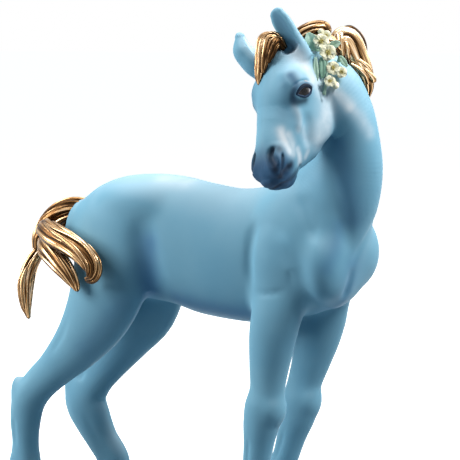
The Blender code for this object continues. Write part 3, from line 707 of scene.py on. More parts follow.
BLUE = (0.172, 0.390, 0.520)
BLUE_WARM = (0.200, 0.420, 0.540)
# painted highlight, laid on the blue where it faces the light
BLUE_HIGHLIGHT = (0.52, 0.70, 0.79)
# painted shade in the body's hollows, on its underside and down the neck
BLUE_PAINTED_SHADE = (0.018, 0.098, 0.270)
SLATE = (0.024, 0.075, 0.158)
INK = (0.009, 0.018, 0.036)
PALE = (0.78, 0.84, 0.87)
HOOF = (0.105, 0.215, 0.315)
# painted highlight of the gilding
GOLD_HIGHLIGHT = (0.90, 0.76, 0.62)
GOLD = (0.66, 0.44, 0.23)
# painted shade and dark reflections of the gilding, brown and near black
GOLD_BROWN = (0.20, 0.095, 0.032)
GOLD_DARK = (0.024, 0.012, 0.005)
PETAL = (0.80, 0.76, 0.52)
PETAL_LIGHT = (0.88, 0.86, 0.66)
POLLEN = (0.55, 0.47, 0.15)
LEAF = (0.40, 0.58, 0.44)
LEAF_LIGHT = (0.52, 0.68, 0.55)
LEAF_DARK = (0.17, 0.33, 0.24)
LEAF_VEIN = (0.22, 0.38, 0.27)
PUPIL_BLACK = (0.003, 0.003, 0.005)
IRIS_DARK = (0.012, 0.010, 0.011)
IRIS_STREAK = (0.055, 0.045, 0.045)
EYE_WHITE = (0.50, 0.50, 0.53)
EYE_WHITE_DIM = (0.33, 0.32, 0.36)
EYE_CORNER = (0.05, 0.045, 0.06)


def bisque(where):
    """Matt blue, painted lighter where it faces the light as a painted highlight, under the painted shade,
    the slate, the pale strokes and the ink, parts of which are painted shade and painted highlights.
    """
    paint = where.flag("paint", 0)
    cloud = where.noise(24, 3).between(0.3, 0.7)
    colour = cloud.blend(BLUE, BLUE_WARM)
    # painted highlight: the blue is lighter where it faces the light
    colour = (where.flag("facing_light").between(0.50, 1.0) * 0.50).blend(colour, BLUE_HIGHLIGHT)
    colour = (where.flag("hoof") * 0.9).blend(colour, HOOF)
    # painted shade: deep blue where the body lies in shade
    colour = where.flag("shade").blend(colour, BLUE_PAINTED_SHADE)
    colour = paint.channel(0).blend(colour, SLATE)
    mottle = 0.72 + 0.28 * where.noise(120, 2).between(0.35, 0.65)
    colour = (paint.channel(2) * mottle).blend(colour, PALE)
    colour = paint.channel(1).blend(colour, INK)
    grain = where.noise(2600, 2) * 0.6 + where.noise(700, 2) * 0.4
    matt = 0.46 + 0.1 * where.noise(60, 2)
    return {"Base Color": colour, "Roughness": matt, "Normal": grain.bump(0.06, 0.0002)}


def gilt(where):
    """Burnished gold lustre over strands that were combed into the clay, painted lighter as a highlight
    where it gleams, and brown and near black as painted shade and dark reflections in its grooves and where
    it gleams least.
    """
    groove = where.flag("groove")
    comb = where.flag("comb", 0)
    facing_light = where.flag("facing_light")
    broad = comb.vector("MULTIPLY", (6.5, 6.5, 1.7)).noise(1.0, 2, 0.55)
    fine = comb.vector("MULTIPLY", (42.0, 42.0, 2.2)).noise(1.0, 3, 0.6)
    # gleam: random tone from the combing, a painted highlight where the gold faces the light, and each
    # lock's painted light and shade
    lift = facing_light * 0.34 + broad * 1.9 + fine * 0.55 + where.flag("lustre")
    # brown as painted shade in the grooves and as painted dark reflection where the gleam is low
    brown_shade = (groove.between(0.10, 0.60) * 0.85 + 1 - lift.between(1.20, 1.58)).clamp()
    # painted highlight where the gleam is strongest
    colour = lift.between(1.50, 1.95).blend(GOLD, GOLD_HIGHLIGHT)
    colour = brown_shade.blend(colour, GOLD_BROWN)
    # near black as painted shade deep in the grooves and as painted dark reflection where the gleam is
    # lowest
    deep = (groove.between(0.40, 0.90) * 0.9 + 1 - lift.between(1.04, 1.40)).clamp()
    colour = deep.blend(colour, GOLD_DARK)
    return {"Base Color": colour, "Roughness": 0.15 + 0.22 * brown_shade, "Normal": fine.bump(0.3, 0.00025)}


def petal_paste(where):
    """Matt cream, yellow towards the heart of a flower."""
    cloud = where.noise(420, 2).between(0.3, 0.7)
    colour = where.flag("heart").blend(cloud.blend(PETAL, PETAL_LIGHT), POLLEN)
    bump = where.noise(1800, 2).bump(0.1, 0.0002)
    return {"Base Color": colour, "Roughness": 0.42 + 0.12 * cloud, "Normal": bump}


def leaf_paste(where):
    """Matt green, deeper in the veins and on the shaded leaves."""
    cloud = where.noise(260, 2).between(0.3, 0.7)
    colour = where.flag("shade").blend(cloud.blend(LEAF, LEAF_LIGHT), LEAF_DARK)
    colour = (where.flag("vein") * 0.6).blend(colour, LEAF_VEIN)
    return {"Base Color": colour, "Roughness": 0.45 + 0.1 * cloud}


def eye_glaze(side):
    """Pupil, iris and a sliver of the white behind them, about the way the eye looks."""
    def build(where):
        middle, gaze = place(eye_centre(side)).tolist(), eye_gaze(side).tolist()
        rearward = (HEAD_AXES @ eye_axes(side)[:, 0]).tolist()
        look = where.vector("SUBTRACT", middle).vector("NORMALIZE")
        toward = look.vector("DOT_PRODUCT", gaze, output=1)
        back = look.vector("DOT_PRODUCT", rearward, output=1)
        turn = toward.maths("ARCCOSINE", toward)
        streak = where.noise(1500, 3)
        iris = (streak * 0.8).blend(IRIS_DARK, IRIS_STREAK)
        white = streak.between(0.3, 0.8).blend(EYE_WHITE, EYE_WHITE_DIM)
        white = back.between(0.12, 0.34).blend(EYE_CORNER, white)
        colour = turn.between(IRIS - 0.03, IRIS + 0.05).blend(iris, white)
        colour = turn.between(PUPIL - 0.02, PUPIL + 0.03).blend(PUPIL_BLACK, colour)
        return {"Base Color": colour}
    return build


# ---------------------------------------------------------------- the eye's own places
def mirrored(vector, side):
    return np.asarray(vector, float) * (1, side, 1)


def eye_axes(side):
    """Rearward along the opening, up across it, and outward, on the head's axes."""
    outward = unit(mirrored(EYE_OUTWARD, side))
    rearward = mirrored(EYE_REARWARD, side)
    rearward = unit(rearward - rearward @ outward * outward)
    return np.stack([rearward, np.cross(outward, rearward) * side, outward], 1)


def eye_centre(side):
    return from_head(mirrored(EYE_MIDDLE, side) - eye_axes(side)[:, 2] * EYEBALL_DEPTH)


def eye_gaze(side):
    axes = eye_axes(side)
    return HEAD_AXES @ unit(axes[:, 2] - GAZE_AHEAD * axes[:, 0])


def lids(share):
    """Heights of the upper and lower lid, from the front corner at -1 to the rear one at 1."""
    arch = 1 - np.square(share)
    return UPPER_LID * arch * (1 - 0.22 * share), -LOWER_LID * arch * (1 + 0.05 * share)


def on_eye(side, turn, size, lift):
    """A place on the head round the eye's opening, so many times its size, lifted off the ball."""
    along = -math.cos(turn)
    upper, lower = lids(along)
    across = upper if math.sin(turn) > 0 else lower
    x, y = size * EYE_HALF * along, size * across
    if size > 1:                         # outside the opening, evenly away from the lids
        x = EYE_HALF * along * (1 + 0.5 * (size - 1))
        y = across + math.copysign((size - 1) * LID_SPREAD, math.sin(turn))
    out = math.sqrt(max((EYEBALL + lift) ** 2 - x * x - y * y, 1.0)) - EYEBALL_DEPTH
    return mirrored(EYE_MIDDLE, side) + eye_axes(side) @ (x, y, out)


class Opening:
    """The hole between the lids, cut straight in past the ball."""
    blend = 0.7

    def __init__(self, side):
        self.side = side
        middle = from_head(mirrored(EYE_MIDDLE, side))
        self.low, self.high = middle - 1.4 * EYE_HALF, middle + 1.4 * EYE_HALF

    def __call__(self, points):
        inner = (to_head(points) - mirrored(EYE_MIDDLE, self.side)) @ eye_axes(self.side)
        upper, lower = lids(inner[:, 0] / EYE_HALF)
        across = np.maximum(inner[:, 1] - upper, lower - inner[:, 1]) / 1.3
        return np.maximum(across, -inner[:, 2] - 5.0)


def ear_hollow(rows, opens, hollow):
    offset, width, depth = hollow
    toward = unit(opens)
    last = len(rows) - 1
    scoop = []
    for k, row in enumerate(rows[1:], 1):
        out = row[4] * (offset + HOLLOW_FADE * (k / last) ** 1.5)
        scoop.append((*np.add(row[:3], toward * out), row[3] * width, row[4] * depth, row[4] * depth))
    return Loft(scoop, opens, (3, 2), 2.0)


def sculpt():
    """The whole blue casting as one form."""
    form = Form()
    form.join(Loft(TRUNK, UP, (12, 16), 8))
    form.join(Loft(NECK, NECK_CREST, (14, 8), 12))
    head = Form(blend=3.5)
    head.join(Loft(HEAD, UP, (7, 5), 5, on_head=True))
    for side in (1, -1):
        for centre, reach, blend in HEAD_SWELLS:
            head.join(Swell(mirrored(centre, side), reach, blend, on_head=True))
    head.join(Swell(*CHIN, on_head=True))
    form.join(head)
    form.join(*[Swell(*swell) for swell in TRUNK_SWELLS])
    for rows in (RIGHT_FORELEG, LEFT_FORELEG, RIGHT_HIND_LEG, LEFT_HIND_LEG):
        form.join(Loft(rows, AHEAD, (10, 8), 9))
    form.join(*[Swell(*swell) for swell in LIMB_SWELLS])
    for rows, opens, hollow in EARS:
        form.join(Loft(rows, opens, (3, 4), 5))
        form.cut(ear_hollow(rows, opens, hollow))
    form.cut(Floor())
    form.stroke(*[Stroke(*line) for line in BODY_STROKES])
    for side in (1, -1):
        form.stroke(*[Stroke([mirrored(p, side) for p in points], width, depth, on_head=True)
                      for points, width, depth in HEAD_STROKES])
        lid_swelling = [on_eye(side, turn, 1.22, 0.2) for turn in np.linspace(0, math.tau, 33)]
        form.stroke(Stroke(lid_swelling, 2.0, -0.8, on_head=True, closed=True))
        lid_crease = [on_eye(side, turn, 1.75, 0.0) for turn in np.linspace(0.25, math.pi - 0.15, 9)]
        form.stroke(Stroke(lid_crease, 0.9, 0.9, on_head=True))
        form.cut(Opening(side))
    return form


def eased(low, high, values):
    share = np.clip((values - low) / (high - low), 0, 1)
    return share * share * (3 - 2 * share)


def brushed(points, line, width, strength):
    """How strongly soft paint along a line covers each point."""
    return strength * np.exp(-(Stroke(line, 1, 1).gap(points)[1] / width) ** 2)


# Brushed paint on the head's left, laid on both sides: line, width, strength. Beside the figurine's own
# pale dabs and dark lines it holds painted highlights and painted shade, as marked.
PALE_STROKES = [
    # pale dabs on the muzzle and beside it
    ([(60, 12.5, -4), (64, 12.6, -6.5), (68, 12.8, -9.5), (72, 13, -12.5)], 3.2, 0.95),
    ([(62, 13.6, -10), (67, 13.2, -13.5), (73, 12.9, -15.5)], 3.0, 0.70),
    ([(69.5, 13.2, -18.5), (73, 12.3, -21.5), (76.5, 11.2, -24)], 2.4, 0.85),
    ([(67.5, 11.5, -28.5), (71, 10.2, -27.8)], 2.4, 0.6),
    ([(56, 15.5, -20), (60, 14.5, -24), (64, 13, -27)], 4.0, 0.35),
    # partly pale paint and partly a painted highlight, on the brow above the eye
    ([(6, 14.2, -10), (10, 16.4, -13.5), (15, 18.2, -17.5), (20, 19.2, -21)], 5.5, 0.85),
    # painted highlight along the facial crest
    ([(44, 19, -9.5), (48, 18.8, -12.6), (52, 18.2, -14.8), (57, 17.2, -16)], 2.8, 0.4),
    # painted highlight on the cheek
    ([(22, 20, -30), (30, 20, -35), (38, 18.8, -38), (46, 16.8, -38), (54, 14.5, -34)], 9.5, 0.72),
]
SLATE_STROKES = [
    # painted shade where the brow turns to the side of the face, before the eye
    ([(27, 19, 2), (36, 18.5, 0.5), (48, 17, -2.5)], 6.5, 0.40),
    # painted shade under the brow, over the upper lid
    ([(24, 19, -3), (30, 22, -6), (36, 21.4, -4.5), (41, 19.5, -7)], 3.8, 0.75),
    # painted shade in the hollow beside the lips
    ([(80.9, 12.8, -14.8), (84, 12.8, -17), (88, 10, -17)], 4.5, 0.75),
    # painted shade on the upper lid under the brow
    ([on_eye(1, turn, 1.35, 0.2) for turn in np.linspace(0.4, 2.8, 8)], 1.9, 0.85),
]
INK_STROKES = [
    # ink before the eye: partly its painted line, partly painted shade in the hollow before it
    ([(34, 21.8, -4.2), (38.5, 20.2, -4.8), (41, 19.7, -8), (40.2, 20.2, -11.5),
    (38, 20.8, -15.5)], 2.6, 0.75),
    # painted shade in the nostril, along its wing, in the hollow beside the lips and along the mouth
    (NOSTRIL, 3.1, 1.0), (NOSTRIL_WING, 1.4, 0.95), (LIP_HOLLOW, 3.0, 0.95), (MOUTH, 1.6, 1.0),
    # painted shadow of the leaf along the jaw's edge
    (JAW_EDGE, 1.2, 0.7),
    # painted shade under the upper lip and along the lips
    ([(90, 6, -8), (93.5, 5, -8), (95, 0, -8)], 3.5, 0.35),
    ([(84, 9.5, -22), (89, 8, -19), (93, 5, -15)], 3.0, 0.55),
]
# Painted highlights on the neck behind the cheek and on the loins, and painted shade: the head's shadow
# down the neck, the flank's hollow, the thigh, the belly and the breast, all on the figurine's own axes
BODY_HIGHLIGHTS = [
    ([(104, -31.5, 310), (108.5, -30, 305.5), (112.5, -27.7, 301.5), (115, -26, 298.5)], 4.8, 0.80),
    ([(112.5, -27.7, 301.5), (117, -24, 296), (121, -20, 290), (124, -15, 282)], 5.0, 0.42),
    ([(-40, -10, 244), (-32, -10, 243.5), (-22, -9, 242.5)], 7.5, 0.38),
]
BODY_SHADES = [
    ([(103, -25, 284), (107, -25, 272), (110, -24.5, 258), (113, -23, 240), (113, -18, 222)], 8.0, 0.34),
    ([(-43, -28.5, 200), (-44, -27, 184), (-45, -19, 167)], 9.0, 0.60),
    ([(-60, -32, 158), (-75, -35, 140), (-92, -34, 124)], 8.0, 0.20),
    ([(-24, -15, 160), (6, -16, 156), (30, -16, 155)], 9.0, 0.50),
    ([(107, -22, 220), (104, -25.7, 205), (100, -31, 190)], 6.0, 0.30),
    ([(112, -10, 190), (104, -8, 172), (92, -4, 158)], 9.0, 0.30),
]


def paint_of(verts):
    """Slate, ink and pale paint on the casting's vertices, parts of it painted shade and painted
    highlights, and the deep blue of its painted shade.
    """
    local = to_head(verts)
    folded = np.stack([local[:, 0], np.abs(local[:, 1]), local[:, 2]], 1)
    behind = 14 * eased(6, -14, local[:, 1]) - 24          # the throat, further back on the head's right
    x, _, z = local.T
    under = 0.45 * np.maximum(x - 50, 0) - 54              # the jaw's underside, rising to the chin
    on_head = ((x > -6) & (x < 99) & (z > under) & (folded[:, 1] < 27) & (verts[:, 2] > 240)
               & (verts[:, 1] < behind))
    paint, shade = np.zeros((len(verts), 3)), np.zeros(len(verts))
    face = folded[on_head]
    edge = eased(0, -9, (verts[:, 1] - behind)[on_head])
    lower = eased(-8, -20, face[:, 2])
    paint[on_head, 0] = 0.95 * eased(63 + 13 * lower, 84 + 7 * lower, face[:, 0])
    for channel, strokes in ((0, SLATE_STROKES), (1, INK_STROKES), (2, PALE_STROKES)):
        for stroke in strokes:
            paint[on_head, channel] = np.maximum(paint[on_head, channel], brushed(face, *stroke) * edge)
    # painted shade on the body, kept off the head
    for stroke in BODY_SHADES:
        shade = np.maximum(shade, brushed(verts, *stroke) * ~on_head)
    # painted highlights on the neck and the loins
    for stroke in BODY_HIGHLIGHTS:
        paint[:, 2] = np.maximum(paint[:, 2], brushed(verts, *stroke))
    # painted shade in the near ear's hollow, in slate, and a painted highlight in the far ear's hollow, in
    # pale
    for (rows, opens, hollow), channel, strength in zip(EARS, (0, 2), (0.45, 0.6)):
        inside = eased(1.1, 0.2, np.abs(ear_hollow(rows, opens, hollow)(verts)))
        near = (np.linalg.norm(verts - np.mean([row[:3] for row in rows], axis=0), axis=1) < 24)
        paint[:, channel] = np.maximum(paint[:, channel], strength * inside * near)
    paint[:, 2] *= 1 - 0.7 * paint[:, 1]
    return {"paint": np.clip(paint, 0, 1), "shade": np.clip(shade, 0, 1)}


HOOF_TOP = 12.4                          # where the lighter glaze of the hooves begins
HOOF_EDGE = 0.8


def casting():
    form = sculpt()
    rulers = [ruler(*table) for table in (RULER_X, RULER_Y, RULER_Z)]
    verts, quads = surface_net(sample(form, rulers), rulers)
    verts = settle(form, verts)
    verts[:, 2] = np.maximum(verts[:, 2], 0.0)
    hoof = eased(HOOF_TOP + HOOF_EDGE, HOOF_TOP - HOOF_EDGE, verts[:, 2])
    print("casting", len(verts), "vertices", len(quads), "quads")
    skin = piece("porcelain_casting", place(verts), quads, "bisque", {**paint_of(verts), "hoof": hoof})
    note_facing_light(skin)
    fits(skin, "blue_bisque", "trunk", "neck", "head", "left_ear", "right_ear",
         "right_foreleg", "left_foreleg", "right_hind_leg", "left_hind_leg")


def cap_of_ball(side, rings=26, sides=72, reach=0.86):
    """The part of the eyeball that can be seen between the lids, closed behind by a flat back."""
    axes, middle = HEAD_AXES @ eye_axes(side), eye_centre(side)
    verts = []
    for k in range(1, rings + 1):
        lean = reach * k / rings
        for turn in np.arange(sides) * math.tau / sides:
            ray = (math.sin(lean) * math.cos(turn), math.sin(lean) * math.sin(turn), math.cos(lean))
            verts.append(middle + EYEBALL * axes @ ray)
    verts += [middle + EYEBALL * axes[:, 2], middle + EYEBALL * math.cos(reach) * axes[:, 2]]
    return verts, tube_faces(rings, sides)


def lid_rims(side, steps=72, sides=14):
    """The rolled edges of both lids, one closed ring that lies on the ball, thickest at the upper lid."""
    turns = np.arange(steps) * math.tau / steps
    line = from_head([on_eye(side, turn, 1.0, 0.35) for turn in turns])
    along = unit(np.roll(line, -1, 0) - np.roll(line, 1, 0))
    out = unit(line - eye_centre(side))
    aside = unit(np.cross(along, out))
    thick = 0.60 + np.where(np.sin(turns) > 0, 0.75, 0.22) * np.abs(np.sin(turns)) ** 0.7
    verts = []
    for k in range(steps):
        for turn in np.arange(sides) * math.tau / sides:
            verts.append(line[k] + thick[k] * (math.cos(turn) * aside[k] + math.sin(turn) * out[k]))
    ink = np.repeat(np.where(np.sin(turns) > -0.05, 1.0, 0.7), sides)
    paint = np.stack([np.ones(len(verts)), ink, np.zeros(len(verts))], 1)
    return verts, band_faces(steps, sides, closed=True), paint


def eyes():
    for side, label in ((1, "left"), (-1, "right")):
        finish(label + "_eye_glaze", eye_glaze(side), Roughness=0.22, Specular_IOR_Level=0.22)
        verts, faces = cap_of_ball(side)
        ball = piece(label + "_eyeball", place(verts), faces, label + "_eye_glaze")
        fits(closed_right(ball), "blue_bisque")
        verts, faces, paint = lid_rims(side)
        rims = piece(label + "_eye_lids", place(verts), faces, "bisque",
                     {"paint": paint, "shade": np.zeros(len(verts)), "hoof": np.zeros(len(verts))})
        fits(closed_right(rims), "blue_bisque")


# ---------------------------------------------------------------- gilded hair
LOCK_SIDES = 144
LOCK_STEPS = 14
STRAND_SIDES = 16
BROAD_GROOVE = (0.15, 0.27)              # width as a turn about the lock, depth as a share of its reach
FINE_GROOVE = (0.075, 0.075)


def combed(chance, turn, run, count, width, depth, twist):
    """Grooves combed along a lock: what they take off its reach, and how far each place lies in one."""
    cut, dark = 0, 0
    for k in range(count):
        swing, pace, start = chance.uniform(0.05, 0.22), chance.uniform(2, 6), chance.uniform(0, math.tau)
        wander = swing * np.sin(pace * run + start)
        middle = (k + chance.uniform(-0.36, 0.36)) * math.tau / count + twist * run + wander
        gap = (turn - middle + math.pi) % math.tau - math.pi
        start, stop = chance.uniform(-0.25, 0.25), chance.uniform(0.75, 1.25)
        held = eased(start - 0.1, start + 0.1, run) * eased(stop + 0.1, stop - 0.1, run)
        share = chance.uniform(0.45, 1.0)
        line = np.exp(-np.abs(gap / (width * chance.uniform(0.6, 1.3))) ** 1.6) * held * share
        cut = cut + depth * line
        dark = np.maximum(dark, line)
    return cut, dark


class Strands:
    """Closed strands gathered into one gilded piece, each vertex with its groove shade and its combing."""

    def __init__(self):
        self.verts, self.faces, self.groove, self.comb, self.count = [], [], [], [], 0

    def add(self, rings, ends, groove, turn, run):
        """Rings of vertices in order, the two end points, and the shade of every vertex in the rings."""
        count, sides = rings.shape[:2]
        self.faces += tube_faces(count, sides, self.count)
        self.verts += [rings.reshape(-1, 3), np.asarray(ends)]
        self.groove += [np.broadcast_to(groove, (count, sides)).ravel(), (0.3, 0.2)]
        round_lock = (0.5 + 0.5 * np.cos(turn), 0.5 + 0.5 * np.sin(turn))
        comb = np.stack(np.broadcast_arrays(*round_lock, run[:, None]), -1)
        self.comb += [comb.reshape(-1, 3), comb[0, :1], comb[-1, :1]]
        self.count += count * sides + 2

    def tube(self, spine, thick, out):
        """A round strand along a spine, blunt at its end."""
        run = np.linspace(0, 1, len(spine))
        thick = thick * np.sqrt(np.clip(1 - np.clip((run - 0.88) / 0.12, 0, 1) ** 2, 0.03, 1))
        way = unit(np.gradient(spine, axis=0))
        out = unit(out - (out * way).sum(1, keepdims=True) * way)
        side = np.cross(out, way)
        around = np.arange(STRAND_SIDES) * math.tau / STRAND_SIDES
        rings = (spine[:, None] + (thick[:, None] * np.cos(around))[..., None] * side[:, None]
                 + (thick[:, None] * np.sin(around))[..., None] * out[:, None])
        # darker on the strand's underside, as painted shade where it lies on the lock
        groove = np.clip(0.22 - 0.6 * np.sin(around), 0, 1)
        self.add(rings, [spine[0], spine[-1]], groove[None, :], around[None, :], run)

    def piece(self, name):
        # the lustre flag holds each lock's painted light and shade
        whole = piece(name, place(np.vstack(self.verts)), self.faces, "gilt",
                      {"groove": np.clip(np.concatenate(self.groove), 0, 1), "comb": np.vstack(self.comb),
                       "lustre": np.full(self.count, LOCK_LIGHT_AND_SHADE.get(name, 0.0))})
        return note_facing_light(closed_right(whole))


def lock(name, guide, grooves, twist, rows, seed, extra=()):
    """A lock of hair: a tapering form combed with deep and fine grooves, with raised strands over it."""
    chance = np.random.default_rng(seed)
    centre, along, front, left, reach = section_frame(rows, guide, LOCK_STEPS)
    run = np.linspace(0, 1, len(centre))
    turn = (np.arange(LOCK_SIDES) * math.tau / LOCK_SIDES)[None, :]
    broad, broad_dark = combed(chance, turn, run[:, None], grooves, *BROAD_GROOVE, twist)
    fine, fine_dark = combed(chance, turn, run[:, None], 2 * grooves + 3, *FINE_GROOVE, twist)
    relief = 1.04 - broad - fine
    depth = np.where(np.sin(turn) > 0, reach[:, 1:2], reach[:, 2:3]) * np.sin(turn)
    rings = (centre[:, None] + (relief * reach[:, 0:1] * np.cos(turn))[..., None] * left[:, None]
             + (relief * depth)[..., None] * front[:, None])
    strands = Strands()
    ends = [centre[0] - along[0] * 0.5, centre[-1] + along[-1] * reach[-1, 0] * 0.8]
    # the grooves' darkness goes on as painted shade
    strands.add(rings, ends, np.maximum(broad_dark, 0.45 * fine_dark), turn, run)
    for _ in range(max(1, grooves // 3)):
        lay_wisp(strands, chance, centre, front, left, reach)
    for points in extra:
        path = smooth(points, 10)
        strands.tube(path[:, :3], path[:, 3], np.broadcast_to(unit(guide), (len(path), 3)))
    return strands.piece(name)


def lay_wisp(strands, chance, centre, front, left, reach):
    """One raised strand that winds a little way round a lock's surface."""
    count = len(centre)
    picks = np.arange(int(chance.uniform(0.02, 0.3) * count), int(chance.uniform(0.7, 0.97) * count))
    run = np.linspace(0, 1, len(picks))
    turn = chance.uniform(0, math.tau) + chance.uniform(-1.0, 1.0) * run
    depth = np.where(np.sin(turn) > 0, reach[picks, 1], reach[picks, 2]) * np.sin(turn)
    offset = (reach[picks, 0] * np.cos(turn))[:, None] * left[picks] + depth[:, None] * front[picks]
    swell = np.sqrt(np.clip(np.sin(math.pi * run), 0.02, 1))
    thick = np.minimum(reach[picks, 0], reach[picks, 1]) * 0.30 * swell
    strands.tube(centre[picks] + 0.93 * offset, thick, unit(offset))


# Each lock: guide direction, number of deep grooves, twist, and its stations
LOCKS = {
    "forelock_outer": ((0.3, -0.9, 0.2), 5, 0.5, [
        (71, -41, 338, 3, 2.5, 2.5), (66.6, -45.1, 343.5, 4, 3, 3), (63.2, -49.6, 343, 4.2, 3.2, 3.2),
        (62.6, -52.4, 335, 4, 3, 3), (62.6, -54.2, 326, 3.6, 2.8, 2.8), (62.6, -55.8, 318, 2.6, 2.2, 2.2),
        (62.9, -56.4, 313.5, 1.2, 1.2, 1.2)]),
    "forelock_middle": ((0.3, -0.9, 0.2), 6, 0.5, [
        (73, -43, 338, 3, 2.5, 2.5), (70, -47, 344, 4, 3, 3), (67, -51.5, 343, 4, 3, 3),
        (67, -55, 335, 4, 2.8, 2.8),
        (66.3, -56, 327, 3, 2.2, 2.2), (66, -56.5, 321, 1.3, 1.2, 1.2)]),
    "forelock_inner": ((0.3, -0.9, 0.2), 6, 0.5, [
        (75, -44.5, 337, 3, 2.5, 2.5), (73.5, -49, 341.5, 3.8, 2.8, 2.8), (72.3, -53, 339.5, 3.8, 2.8, 2.8),
        (71.4, -55.5, 333.5, 3, 2.2, 2.2), (70.3, -56.6, 328, 1.3, 1.2, 1.2)]),
    "mane_poll_lock": ((0.3, -0.6, 0.75), 9, 0.8, [
        (73, -32, 338.5, 4, 4, 4), (78, -27.5, 346, 5, 4.5, 4.5), (84, -21.5, 350.5, 5, 4.5, 4.5),
        (89.5, -15.5, 351.6, 4.2, 4, 4), (92.5, -12.5, 348.4, 2.4, 2.4, 2.4)]),
    "mane_under_lock": ((0.3, -0.8, 0.5), 9, 0.8, [
        (78, -31, 335, 5, 4, 4), (83, -25, 339.5, 6, 4.5, 4.5), (89, -19, 341.5, 6, 4.5, 4.5),
        (95, -11.5, 339.5, 5, 4, 4), (98, -7, 336, 3, 3, 3)]),
    "mane_crest_lock": ((0.7, -0.7, 0.1), 4, 0.4, [
        (92, -10, 336, 5, 4, 4), (97.3, -3.1, 344, 7, 4.5, 4.5), (101.2, 2.4, 341.4, 7.5, 5, 5),
        (104.6, 6.8, 331, 7.0, 5, 5), (107.6, 10.8, 320.5, 5.8, 4.5, 4.5),
        (109.2, 13.2, 311, 3.8, 3.4, 3.4),
        (108.6, 14.2, 304, 1.4, 1.4, 1.4)]),
    "mane_nape_lock": ((1, 0, -0.1), 9, 0.5, [
        (86, -8, 329, 4, 5, 5), (88, 2, 338, 4.5, 7, 7), (91, 12, 335, 5, 8.5, 8.5),
        (93, 18, 324, 4.5, 8, 8),
        (94, 20.5, 312, 4, 5.5, 5.5), (93, 20.5, 302, 1.5, 1.5, 1.5)]),
    "mane_middle_lock": ((1, 0.2, 0), 9, 0.5, [
        (90, 5, 313, 4, 6, 6), (88, 15, 316, 4.5, 7.5, 7.5), (84, 21, 307, 4.5, 7.5, 7.5),
        (82, 22.5, 295, 4, 5.5, 5.5),
        (82, 21.5, 285, 1.5, 1.5, 1.5)]),
    "mane_lower_lock": ((0.8, 0.6, 0), 9, 0.5, [
        (87, 7, 296, 4, 6, 6), (79, 15, 299, 4.5, 7, 7), (74, 19, 290, 4.5, 7, 7),
        (71.5, 19.5, 277, 3.8, 5, 5),
        (72, 18, 267, 1.5, 1.5, 1.5)]),
    "tail_dock": ((0, 1, 0), 11, 0.4, [
        (-104, 0, 219, 7, 8, 8), (-117, -1, 221, 8.5, 8.5, 9), (-129, -3, 217.5, 9.5, 8.5, 10),
        (-139, -6, 209, 9.5, 9, 10), (-144, -10, 197, 8, 8, 9), (-145, -14, 186, 4, 4, 4)]),
    "tail_forward_lock": ((0.2, -0.85, 0.5), 14, 0.5, [
        (-136, -17, 207, 5, 5, 5), (-128, -28, 207, 8, 7, 7), (-114, -36.5, 203, 9, 7, 7),
        (-99, -41, 198.5, 8.5, 7, 7), (-86, -44, 192.5, 8, 6.5, 6.5), (-77, -45.5, 184, 7, 6, 6),
        (-76.5, -45.5, 176.5, 4.5, 5, 5), (-81.5, -45, 173.5, 2.4, 3, 3)]),
    "tail_tip_lock": ((-0.2, -0.9, 0.3), 11, 0.5, [
        (-136, -20, 197, 4.5, 4.5, 4.5), (-126, -31, 193, 7, 6, 6), (-112, -38.5, 186, 7, 6, 6),
        (-101, -42, 178, 6, 5, 5), (-94, -43, 170.5, 4, 4, 4), (-91.5, -43, 166, 1.8, 2, 2)]),
    "tail_hanging_lock": ((-0.9, -0.2, 0.3), 10, 0.6, [
        (-144, -15, 189, 5, 4.5, 4.5), (-149, -19, 177, 8, 5.5, 5.5), (-150, -23, 163, 8, 5.5, 5.5),
        (-146, -28, 150, 5.5, 4, 4), (-142, -31, 142, 1.8, 1.6, 1.6)]),
}


# Loose strands that show on a lock: points and half-widths
STRANDS = {
    "mane_crest_lock": [
        [(98.2, -6.6, 347.4, 1.5), (99.2, -8.3, 342.6, 1.9), (99.6, -7.6, 335.9, 1.9),
         (99.2, -6.0, 331.2, 1.6)],
        [(100.5, -4.6, 341.9, 1.3), (102, -4.2, 335.5, 1.8), (101.9, -2.6, 329.6, 1.6)],
        [(96.7, -8.6, 346.3, 1.4), (97.7, -10.2, 341.9, 1.7), (98, -9.4, 337.2, 1.4)],
        [(103, 1.4, 330.4, 1.3), (107.6, 4.6, 328.2, 1.7), (111.2, 8.7, 323.9, 1.8),
         (112.9, 11.4, 318.6, 1.2)],
        [(101.9, 0.4, 326.8, 1.3), (106.6, 3.8, 323.2, 1.7), (109.8, 7.3, 318.6, 1.7),
         (110.8, 10.6, 312, 1.2)],
        [(107.6, 6.2, 325.4, 1.5), (111.2, 8.9, 320.5, 2.0), (113.4, 11.4, 316.6, 2.3),
         (113.2, 12.6, 313.8, 2.1)],
    ],
}
# How much lighter each lock's gilding is painted: above zero a painted highlight, below zero painted shade
# and dark reflection
LOCK_LIGHT_AND_SHADE = {
    "forelock_middle_hair": -0.08, "forelock_inner_hair": -0.28, "mane_poll_lock_hair": -0.12,
    "mane_crest_lock_hair": 0.12, "mane_crest_fold_hair": -0.45, "tail_dock_hair": -0.20,
    "tail_forward_lock_hair": -0.10,
}
CREST_FOLD = ((0.9, -0.4, 0.1), 6, 0.2, [
    (93.5, 1.5, 347.5, 2.6, 2.4, 2.4), (98.4, 5.7, 348.4, 4.2, 3, 3), (102, 9.2, 343.8, 4.6, 3.2, 3.2),
    (104.4, 11.6, 336.6, 4.4, 3, 3), (105.2, 13.2, 329.5, 2.4, 2.2, 2.2)])
CREST_FOLD_SEED = 40


def hair():
    for seed, (name, form) in enumerate(LOCKS.items()):
        fits(lock(name + "_hair", *form, seed, STRANDS.get(name, ())), "gold_lustre", name)
    fits(lock("mane_crest_fold_hair", *CREST_FOLD, CREST_FOLD_SEED), "gold_lustre", "mane_crest_lock")


